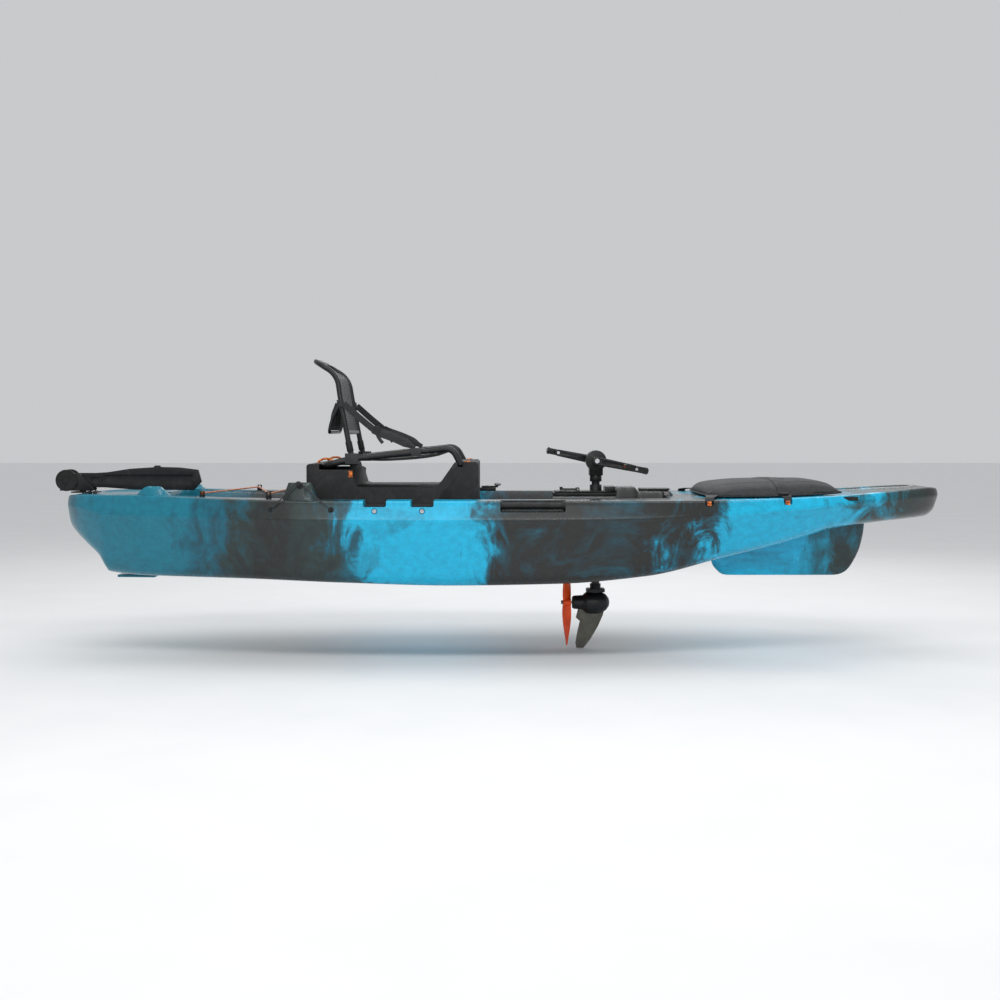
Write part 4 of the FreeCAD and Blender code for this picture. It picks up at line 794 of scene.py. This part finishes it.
BACK_LINE = [(-604, 596), (-624, 710), (-641, 806), (-710, 852)]
LUMBAR_LINE = [(-648, 704), (-666, 650), (-671, 598)]
BACK_HALF = [(520, 214), (700, 210), (812, 198), (866, 178)]  # height, half breadth
PAD_HALF = 172  # half breadth of the lumbar panel
PAD_CHANNEL = 86  # between its seams
PAD_SWELL = 3.4


def narrowed(mesh):
    """Draw a piece of the back in towards the top, as its frame narrows."""
    for vertex in mesh.vertices:
        vertex.co.y *= float(along(BACK_HALF, vertex.co.z / MM)[0]) / BACK_HALF[1][1]
    return mesh


def make_back_fabric():
    """The mesh back between the uprights and the padded lumbar panel behind it."""
    mesh = ribbon_mesh("back_mesh", BACK_LINE, -196, 196, 2.0, 40, 10, 44)
    item = place_mesh("back_mesh_cloth", narrowed(mesh), "backrest", MESH,
                      ("back_fabric",), 50)
    for name, side in SIDES:
        hem = ribbon_mesh(f"back_hem_{name}", BACK_LINE, side * 180, side * 200, 4.2, 4, 0.5, 44)
        place_mesh(f"back_hem_{name}", narrowed(hem), "backrest", WEBBING, (), 50)
    for name, low, high in (("low", 0, 0.22), ("top", 2.72, 3.0)):
        ends = [tuple(line_at(BACK_LINE, at)[0]) for at in (low, (low + high) / 2, high)]
        band = ribbon_mesh(f"back_band_{name}", ends, -198, 198, 4.6, 40, 10, 6)
        place_mesh(f"back_band_{name}", narrowed(band), "backrest", WEBBING, (), 50)
    pad = ribbon_mesh("lumbar_panel", LUMBAR_LINE, -PAD_HALF, PAD_HALF, 7.0, 30, 3, 24)
    item = place_mesh("lumbar_pad", quilted(pad), "backrest", PADDING, (), 60)


def quilted(mesh):
    """Swell the lumbar panel between its upright seams."""
    for vertex in mesh.vertices:
        y = vertex.co.y / MM
        z = vertex.co.z / MM
        channel = abs(math.sin(math.pi * (y + PAD_HALF) / PAD_CHANNEL)) ** 0.7
        edge = smooth(abs(y), PAD_HALF, PAD_HALF - 12)
        edge *= smooth(z, 598, 612) * smooth(z, 704, 690)
        vertex.co.x += vertex.normal.x * PAD_SWELL * MM * channel * edge
        vertex.co.z += vertex.normal.z * PAD_SWELL * MM * channel * edge
    return mesh


UPPER_STRAP = [(-612, 700), (-556, 650), (-495, 599)]
LOWER_STRAP = [(-480, 592), (-412, 567), (-338, 531)]


def strap_piece(name, line, width, low, high, crown=0.0, taper=0.0):
    """A strap on edge beside the seat: its width runs up and down across its own line."""
    rows = []
    for k in range(29):
        (x, z), up = line_at(line, (len(line) - 1) * k / 28)
        swell = crown * smooth(k, 0, 4) * smooth(k, 28, 24)
        reach = width / 2 * (1 - taper * smooth(k, 20, 27))
        ring = []
        for y, way in ((high, 1), (low, -1)):
            for c in range(9):
                t = (c / 8 if way > 0 else 1 - c / 8) * 2 - 1
                bulge = swell * (1 - t * t) * (1 if abs(y) > abs((low + high) / 2) else -1)
                side = math.copysign(1, y)
                ring.append((x + up.x * reach * t, y + side * bulge, z + up.y * reach * t))
        rows.append(ring)
    return grid_mesh(name, rows)


def make_straps():
    """The webbing from each back upright to its rail, with a padded lower end."""
    for name, side in SIDES:
        upper = strap_piece("upper", UPPER_STRAP, 25, side * 232, side * 234.6)
        lower = strap_piece("lower", LOWER_STRAP, 34, side * 231.5, side * 235.5, 2.4, 0.5)
        tail = strap_piece("tail", [(-486, 590), (-477, 569), (-462, 549)], 13,
                           side * 236.0, side * 237.6)
        buckle = strap_piece("buckle", [(-499, 602), (-487, 596.5), (-474, 589)], 32,
                             side * 229.5, side * 238)
        parts = ((f"upper_strap_{name}", upper, WEBBING, "back_straps"),
                 (f"lower_strap_{name}", lower, PADDING, "back_straps"),
                 (f"strap_tail_{name}", tail, WEBBING, "back_straps"),
                 (f"strap_buckle_{name}", buckle, BLACK, "strap_buckles"))
        for label, mesh, material, node in parts:
            item = place_mesh(label, mesh, None, material, (node,), 50)
            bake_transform(item)


def make_strap_loops():
    """The webbing loop that holds each upper strap to its upright of the back frame."""
    for name, side in SIDES:
        outer, inner = [], []
        for rise in np.linspace(-12.5, 12.5, 9):
            x = -624.3 - 0.15 * rise
            for radius, rows in ((14.2, outer), (12.0, inner)):
                ring = []
                for i in range(36):
                    angle = 2 * math.pi * i / 36
                    reach = 15.0 if math.cos(angle) > 0 else 0.0
                    y = 210 + reach + radius * math.cos(angle)
                    ring.append((x + radius * math.sin(angle), side * y, 702 + rise))
                rows.append(ring)
        skin = grid_mesh("loop", outer + inner[::-1] + outer[:1], False)
        place_mesh(f"strap_loop_{name}", skin, "backrest", WEBBING, (), 40)


def make_foot_sleeves():
    """The plastic sleeve round the foot of each upright of the back."""
    for name, side in SIDES:
        sleeve = rod_mesh("sleeve", (-589, side * 212.4, 516), (-597, side * 211.6, 556), 13)
        place_mesh(f"foot_sleeve_{name}", rounded_edges(sleeve, 2.5), "backrest", BLACK, (), 40)


def make_riser_tabs():
    """The orange pull tabs on the riser's sides and on its front corners."""
    for name, side in SIDES:
        for place, low, high in (("rear", (-592, 252, 418), (-577, 256.5, 443)),
                                 ("front", (-149, 226, 475), (-127, 244, 480.5))):
            tab = box_mesh("tab", low, high, 1.6, side)
            place_mesh(f"riser_tab_{place}_{name}", tab, "hull_body", ORANGE_CORD, (), 40)


# ---------------------------------------------------------------- bow cover

# distance from amidships, half breadth, height of the edge, height of the crown
COVER = [(762, 300, 345, 352), (800, 322, 345, 386), (980, 318, 346, 404),
         (1180, 272, 350, 406), (1280, 232, 354, 392), (1322, 200, 357, 366)]
COVER_ROUNDING = 78  # how far its rear end is drawn in, from 838 mm back to 780 mm


def cover_at(x):
    """Half breadth of the cover at x, and the heights of its edge and crown there."""
    half, edge, crown = (float(v) for v in along(COVER, x))
    return half - COVER_ROUNDING * smooth(x, 838, 780) ** 2, edge, crown


def cover_mesh():
    """The cover before it is tensioned: a crowned lid with a turned-down edge."""
    rows = []
    for x in np.linspace(780, 1318, 60):
        half, edge, crown = cover_at(x)
        crown = min(crown, edge + 62) - 5
        ring = []
        for i in range(33):
            t = i / 32 * 2 - 1
            rise = (1 - abs(t) ** 3.2) ** 0.85
            ring.append((x, (half - 3) * t, edge + 5 + (crown - edge - 5) * rise))
        ring += [(x, (half - 5) * (1 - 2 * i / 12), edge + 1.5) for i in range(13)]
        rows.append(ring)
    return grid_mesh("cover", rows)


def tensioned(mesh, voxel, pressure, cap):
    """Remesh a closed form and let a cloth simulation swell it, by no more than the cap."""
    item = draft(mesh.name, mesh)
    remesh = item.modifiers.new("even", "REMESH")
    remesh.mode = "VOXEL"
    remesh.voxel_size = voxel * MM
    item = draft(mesh.name, applied(item))
    rest = [vertex.co.copy() for vertex in item.data.vertices]
    cloth = item.modifiers.new("cloth", "CLOTH")
    cloth.settings.use_pressure = True
    cloth.settings.uniform_pressure_force = pressure
    cloth.settings.effector_weights.gravity = 0
    cloth.settings.quality = 4
    for number in range(1, 21):
        scene.frame_set(number)
    moved = applied(item)
    for vertex, start in zip(moved.vertices, rest):
        shift = vertex.co - start
        if shift.length > cap * MM:
            vertex.co = start + shift.normalized() * cap * MM
    scene.frame_set(1)
    item = draft(mesh.name, moved)
    finer = item.modifiers.new("finer", "SUBSURF")
    finer.levels = 1
    finer.render_levels = 1
    return applied(item)


def make_bow_cover():
    """The fabric cover over the bow's well, with its folds, pulls and panel seams."""
    mesh = tensioned(cover_mesh(), 8, 3.0, 6)
    for vertex in mesh.vertices:
        x, y, z = (value / MM for value in vertex.co)
        half, edge = (float(v) for v in along(COVER, x)[:2])
        top = smooth(z, edge + 8, edge + 30)
        pull = sum(math.exp(-((x - at) / 30) ** 2) for at in (768, 1073))
        fold = math.sin(0.11 * x + 0.05 * abs(y)) * math.exp(-((abs(y) - half) / 46) ** 2)
        pull *= math.exp(-((abs(y) - half) / 40) ** 2)
        vertex.co.z += MM * (1.6 * fold * top - 3.0 * pull)
        panel = math.exp(-((abs(y) - 0.62 * half) / 4.0) ** 2) * smooth(x, 800, 830)
        vertex.co.z -= MM * 1.8 * panel * top
    item = place_mesh("bow_cover_cloth", mesh, "bow_cover", CANVAS,
                      ("bow_cover",), 60)
    make_cover_edge()
    make_cover_trim(item)
    make_cover_tabs()


def make_cover_edge():
    """The piped, elastic edge of the cover: one side forward, the other side back."""
    one = []
    for x in np.linspace(782, 1316, 26):
        half, edge, _ = cover_at(x)
        one.append((x, half - 1, edge + 3))
    other = [(x, -y, z) for x, y, z in reversed(one)]
    curve = nurbs_curve("cover_piping", one + other, 3.4, WEBBING)
    curve.splines[0].use_cyclic_u = True
    finished("cover_piping", curve, "bow_cover")


def draped_strip(name, cover, centre, half_width, reach, lift, thick, material):
    """A strip laid across the cover, following its surface, that much above it."""
    tree = BVHTree.FromObject(cover, bpy.context.evaluated_depsgraph_get())

    def height(x, y):
        hit = tree.ray_cast(metres((x, y, 700)), Vector((0, 0, -1)))[0]
        return hit.z / MM if hit else float(along(COVER, x)[1])

    rows = []
    for y in np.linspace(-reach, reach, 61):
        ring = [(x, y, height(x, y) + lift + thick)
                for x in np.linspace(centre - half_width, centre + half_width, 7)]
        ring += [(x, y, height(x, y) + lift - 0.4)
                 for x in np.linspace(centre + half_width, centre - half_width, 7)]
        rows.append(ring)
    return place_mesh(name, grid_mesh(name, rows), "bow_cover", material, (), 50)


def make_cover_trim(cover):
    """The webbing over the cover, the patch under it and its buckle on each side."""
    strap = draped_strip("cover_webbing", cover, 1065, 19, 288, 0.4, 2.0, WEBBING)
    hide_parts("cover_strap")
    draped_strip("cover_patch", cover, 1065, 50, 74, 0.2, 1.0, PADDING)
    for name, side in SIDES:
        buckle = box_mesh("buckle", (1046, 285, 353), (1084, 315, 361), 2.5, side)
        place_mesh(f"cover_buckle_{name}", buckle, "bow_cover", BLACK, (), 40)


def make_cover_tabs():
    """The fabric tabs that reach from the cover's edge over the gunwale to its hooks."""
    for place, at, end, inner, outer in (("rear", 794, 768, 302, 398),
                                         ("front", 1073, 1073, 288, 340)):
        for name, side in SIDES:
            rows = []
            for t in np.linspace(0, 1, 13):
                y = inner + (outer - inner) * t
                z = 353 - 8 * t - 11 * smooth(t, 0.78, 1.0)
                middle = at + (end - at) * t
                half = 24 - 10 * t
                ring = [(middle + half * s, side * y, z + 1.2) for s in np.linspace(-1, 1, 7)]
                ring += [(middle + half * s, side * y, z - 1.2) for s in np.linspace(1, -1, 7)]
                rows.append(ring)
            place_mesh(f"cover_tab_{place}_{name}", grid_mesh("tab", rows), "bow_cover",
                       CANVAS, (), 50)


# ---------------------------------------------------------------- reflectors and small trim

PEDAL_TILT = -11.5  # degrees that the pedals lean in the photograph


def make_reflectors():
    """An orange reflector let into the front and rear edge of each pedal."""
    for name in ("right", "left"):
        low, high = (Vector(corner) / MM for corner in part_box(f"pedal_{name}"))
        centre = (low + high) / 2
        angle = math.radians(PEDAL_TILT)
        way = Vector((math.cos(angle), 0, math.sin(angle)))
        up = Vector((-math.sin(angle), 0, math.cos(angle)))
        for end in (-1, 1):
            middle = centre + way * end * 44.6
            rows = []
            for depth in (-1.8, 1.2):
                ring = []
                for i in range(32):
                    turn = 2 * math.pi * i / 32
                    c, s = math.cos(turn), math.sin(turn)
                    wide = math.copysign(abs(c) ** 0.35, c) * 24
                    tall = math.copysign(abs(s) ** 0.35, s) * 5.6
                    ring.append(tuple(middle + way * end * depth + up * tall
                                      + Vector((0, wide, 0))))
                rows.append(ring)
            lens = rounded_edges(grid_mesh("reflector", rows), 0.7, 2)
            label = f"reflector_{name}_{'front' if end > 0 else 'rear'}"
            place_mesh(label, lens, f"pedal_{name}", REFLECTOR, (), 40)


# ---------------------------------------------------------------- hard parts

# the CAD parts whose edges are rounded: node, body, edge radius in mm, finish
SOFTENED = [
    ("seat_riser", "hull_body", 5.0, RISER),
    ("drive_dock", "hull_body", 2.0, BLACK),
    ("steering_pod", "hull_body", 3.0, BLACK),
    ("rudder_bracket", "hull_body", 1.6, BLACK),
    ("stern_skid_plate", "hull_body", 3.0, HULL),
    ("cord_hooks", "hull_body", 1.2, ORANGE_CORD),
    ("rudder_yoke", "rudder_fork", 2.0, BLACK),
    ("rudder_blade", "rudder", 3.0, RUDDER_BLACK),
    ("steering_lever", "steering_lever", 1.5, BLACK),
    ("lever_knob", "steering_lever", 1.2, KNOB),
    ("drive_plate", "drive", 1.6, DRIVE_BLACK),
    ("gear_case_right", "drive", 1.8, DRIVE_BLACK),
    ("gear_case_left", "drive", 1.8, DRIVE_BLACK),
    ("lower_case_right", "drive", 1.5, DRIVE_BLACK),
    ("lower_case_left", "drive", 1.5, DRIVE_BLACK),
    ("tube_collars", "drive", 1.5, DRIVE_BLACK),
    ("drive_fin", "drive", 2.0, FIN),
    ("drive_latch", "drive_latch", 1.2, BLACK),
    ("crank_arm_right", "cranks", 2.4, DRIVE_BLACK),
    ("crank_arm_left", "cranks", 2.4, DRIVE_BLACK),
    ("pedal_right", "pedal_right", 1.5, BLACK),
    ("pedal_left", "pedal_left", 1.5, BLACK),
    ("rail_brackets", "seat", 2.0, BRACKET),
    ("console_lid", "console_lid", 1.5, BLACK),
]

# the CAD parts that keep their own mesh, and their finish
KEPT = {
    "drain_plug": BLACK, "deck_loops": BLACK, "carry_handles": BLACK, "deck_bolts": STEEL,
    "steering_pins": STEEL, "lid_hinge": STEEL, "rudder_axle": RUDDER_BLACK,
    "drive_tube": TUBE, "drive_pins": STEEL, "drive_bearings": STEEL, "crank_axle": STEEL,
    "crank_bolts": STEEL, "crank_gear": STEEL, "pedal_spindles": STEEL, "drive_shaft": STEEL,
    "upper_pinion": STEEL, "lower_gear": STEEL, "propeller": PROPELLER, "prop_shaft": BRASS,
    "prop_pinion": STEEL, "propeller_fixings": STEEL, "seat_frame": TUBE, "back_pivots": STEEL,
    "back_frame": TUBE, "back_cross_tubes": TUBE,
}


def make_hard_parts():
    for part in SOFTENED:
        softened(*part)
    for node, material in KEPT.items():
        for holder in NODES[node].material_slots:
            holder.material = material


# ---------------------------------------------------------------- stage

def area_light(name, place, target, size, power):
    light = bpy.data.lights.new(name, "AREA")
    light.shape = "RECTANGLE"
    light.size, light.size_y = size
    light.energy = power
    item = added(name, light)
    item.location = place
    item.rotation_euler = (Vector(target) - Vector(place)).to_track_quat("-Z", "Y").to_euler()


def make_stage():
    floor = bpy.data.meshes.new("floor")
    reach, level = 30.0, CAD_BOX[0][2]
    floor.from_pydata([(-reach, -reach, level), (reach, -reach, level), (reach, reach, level),
                       (-reach, reach, level)], [], [(0, 1, 2, 3)])
    shade = Shader("studio_floor")
    tones = [(0.3, (0.84, 0.845, 0.85)), (0.7, (0.87, 0.87, 0.875))]
    shade.colour(shade.ramp(shade.noise(3.0), tones))
    shade.constant(Roughness=0.9)
    floor.materials.append(shade.material)
    added("floor", floor)
    world = bpy.data.worlds.new("studio")
    world.use_nodes = True
    sky = world.node_tree.nodes["Background"].inputs
    sky["Color"].default_value = (0.93, 0.95, 0.97, 1)
    sky["Strength"].default_value = 0.62
    scene.world = world
    scene.view_settings.view_transform = "Standard"
    area_light("long_key", (0.2, -2.6, 3.2), (0, 0, 0.3), (5.0, 0.7), 62)
    area_light("overhead", (0, 0.4, 3.6), (0, 0, 0.3), (5.0, 2.4), 42)
    area_light("front_fill", (-0.6, -5.0, 1.6), (0, 0, 0.2), (4.0, 1.6), 20)
    area_light("ledge_strip", (0.1, -6.0, 1.9), (0, 0, 0.3), (5.0, 0.15), 34)
    area_light("back_rim", (0.6, 3.4, 2.4), (0, 0, 0.3), (4.5, 0.8), 34)


LOOKS_DOWN = 3.03  # degrees that the camera looks below the horizon


def make_camera():
    camera = bpy.data.cameras.new("camera")
    camera.sensor_width = 36
    camera.lens = 47.7
    item = added("camera", camera)
    item.location = (-0.012, -5.33, 0.600)
    item.rotation_euler = (math.radians(90 - LOOKS_DOWN), 0, 0)
    scene.camera = item


make_camera()
make_side_cords()
make_rear_bungee()
make_bungee_knots()
make_seat_loops()
make_hull()
make_bow_keel()
make_seat_sling()
make_back_fabric()
make_straps()
make_strap_loops()
make_foot_sleeves()
make_riser_tabs()
make_bow_cover()
make_reflectors()
make_hard_parts()
make_stage()
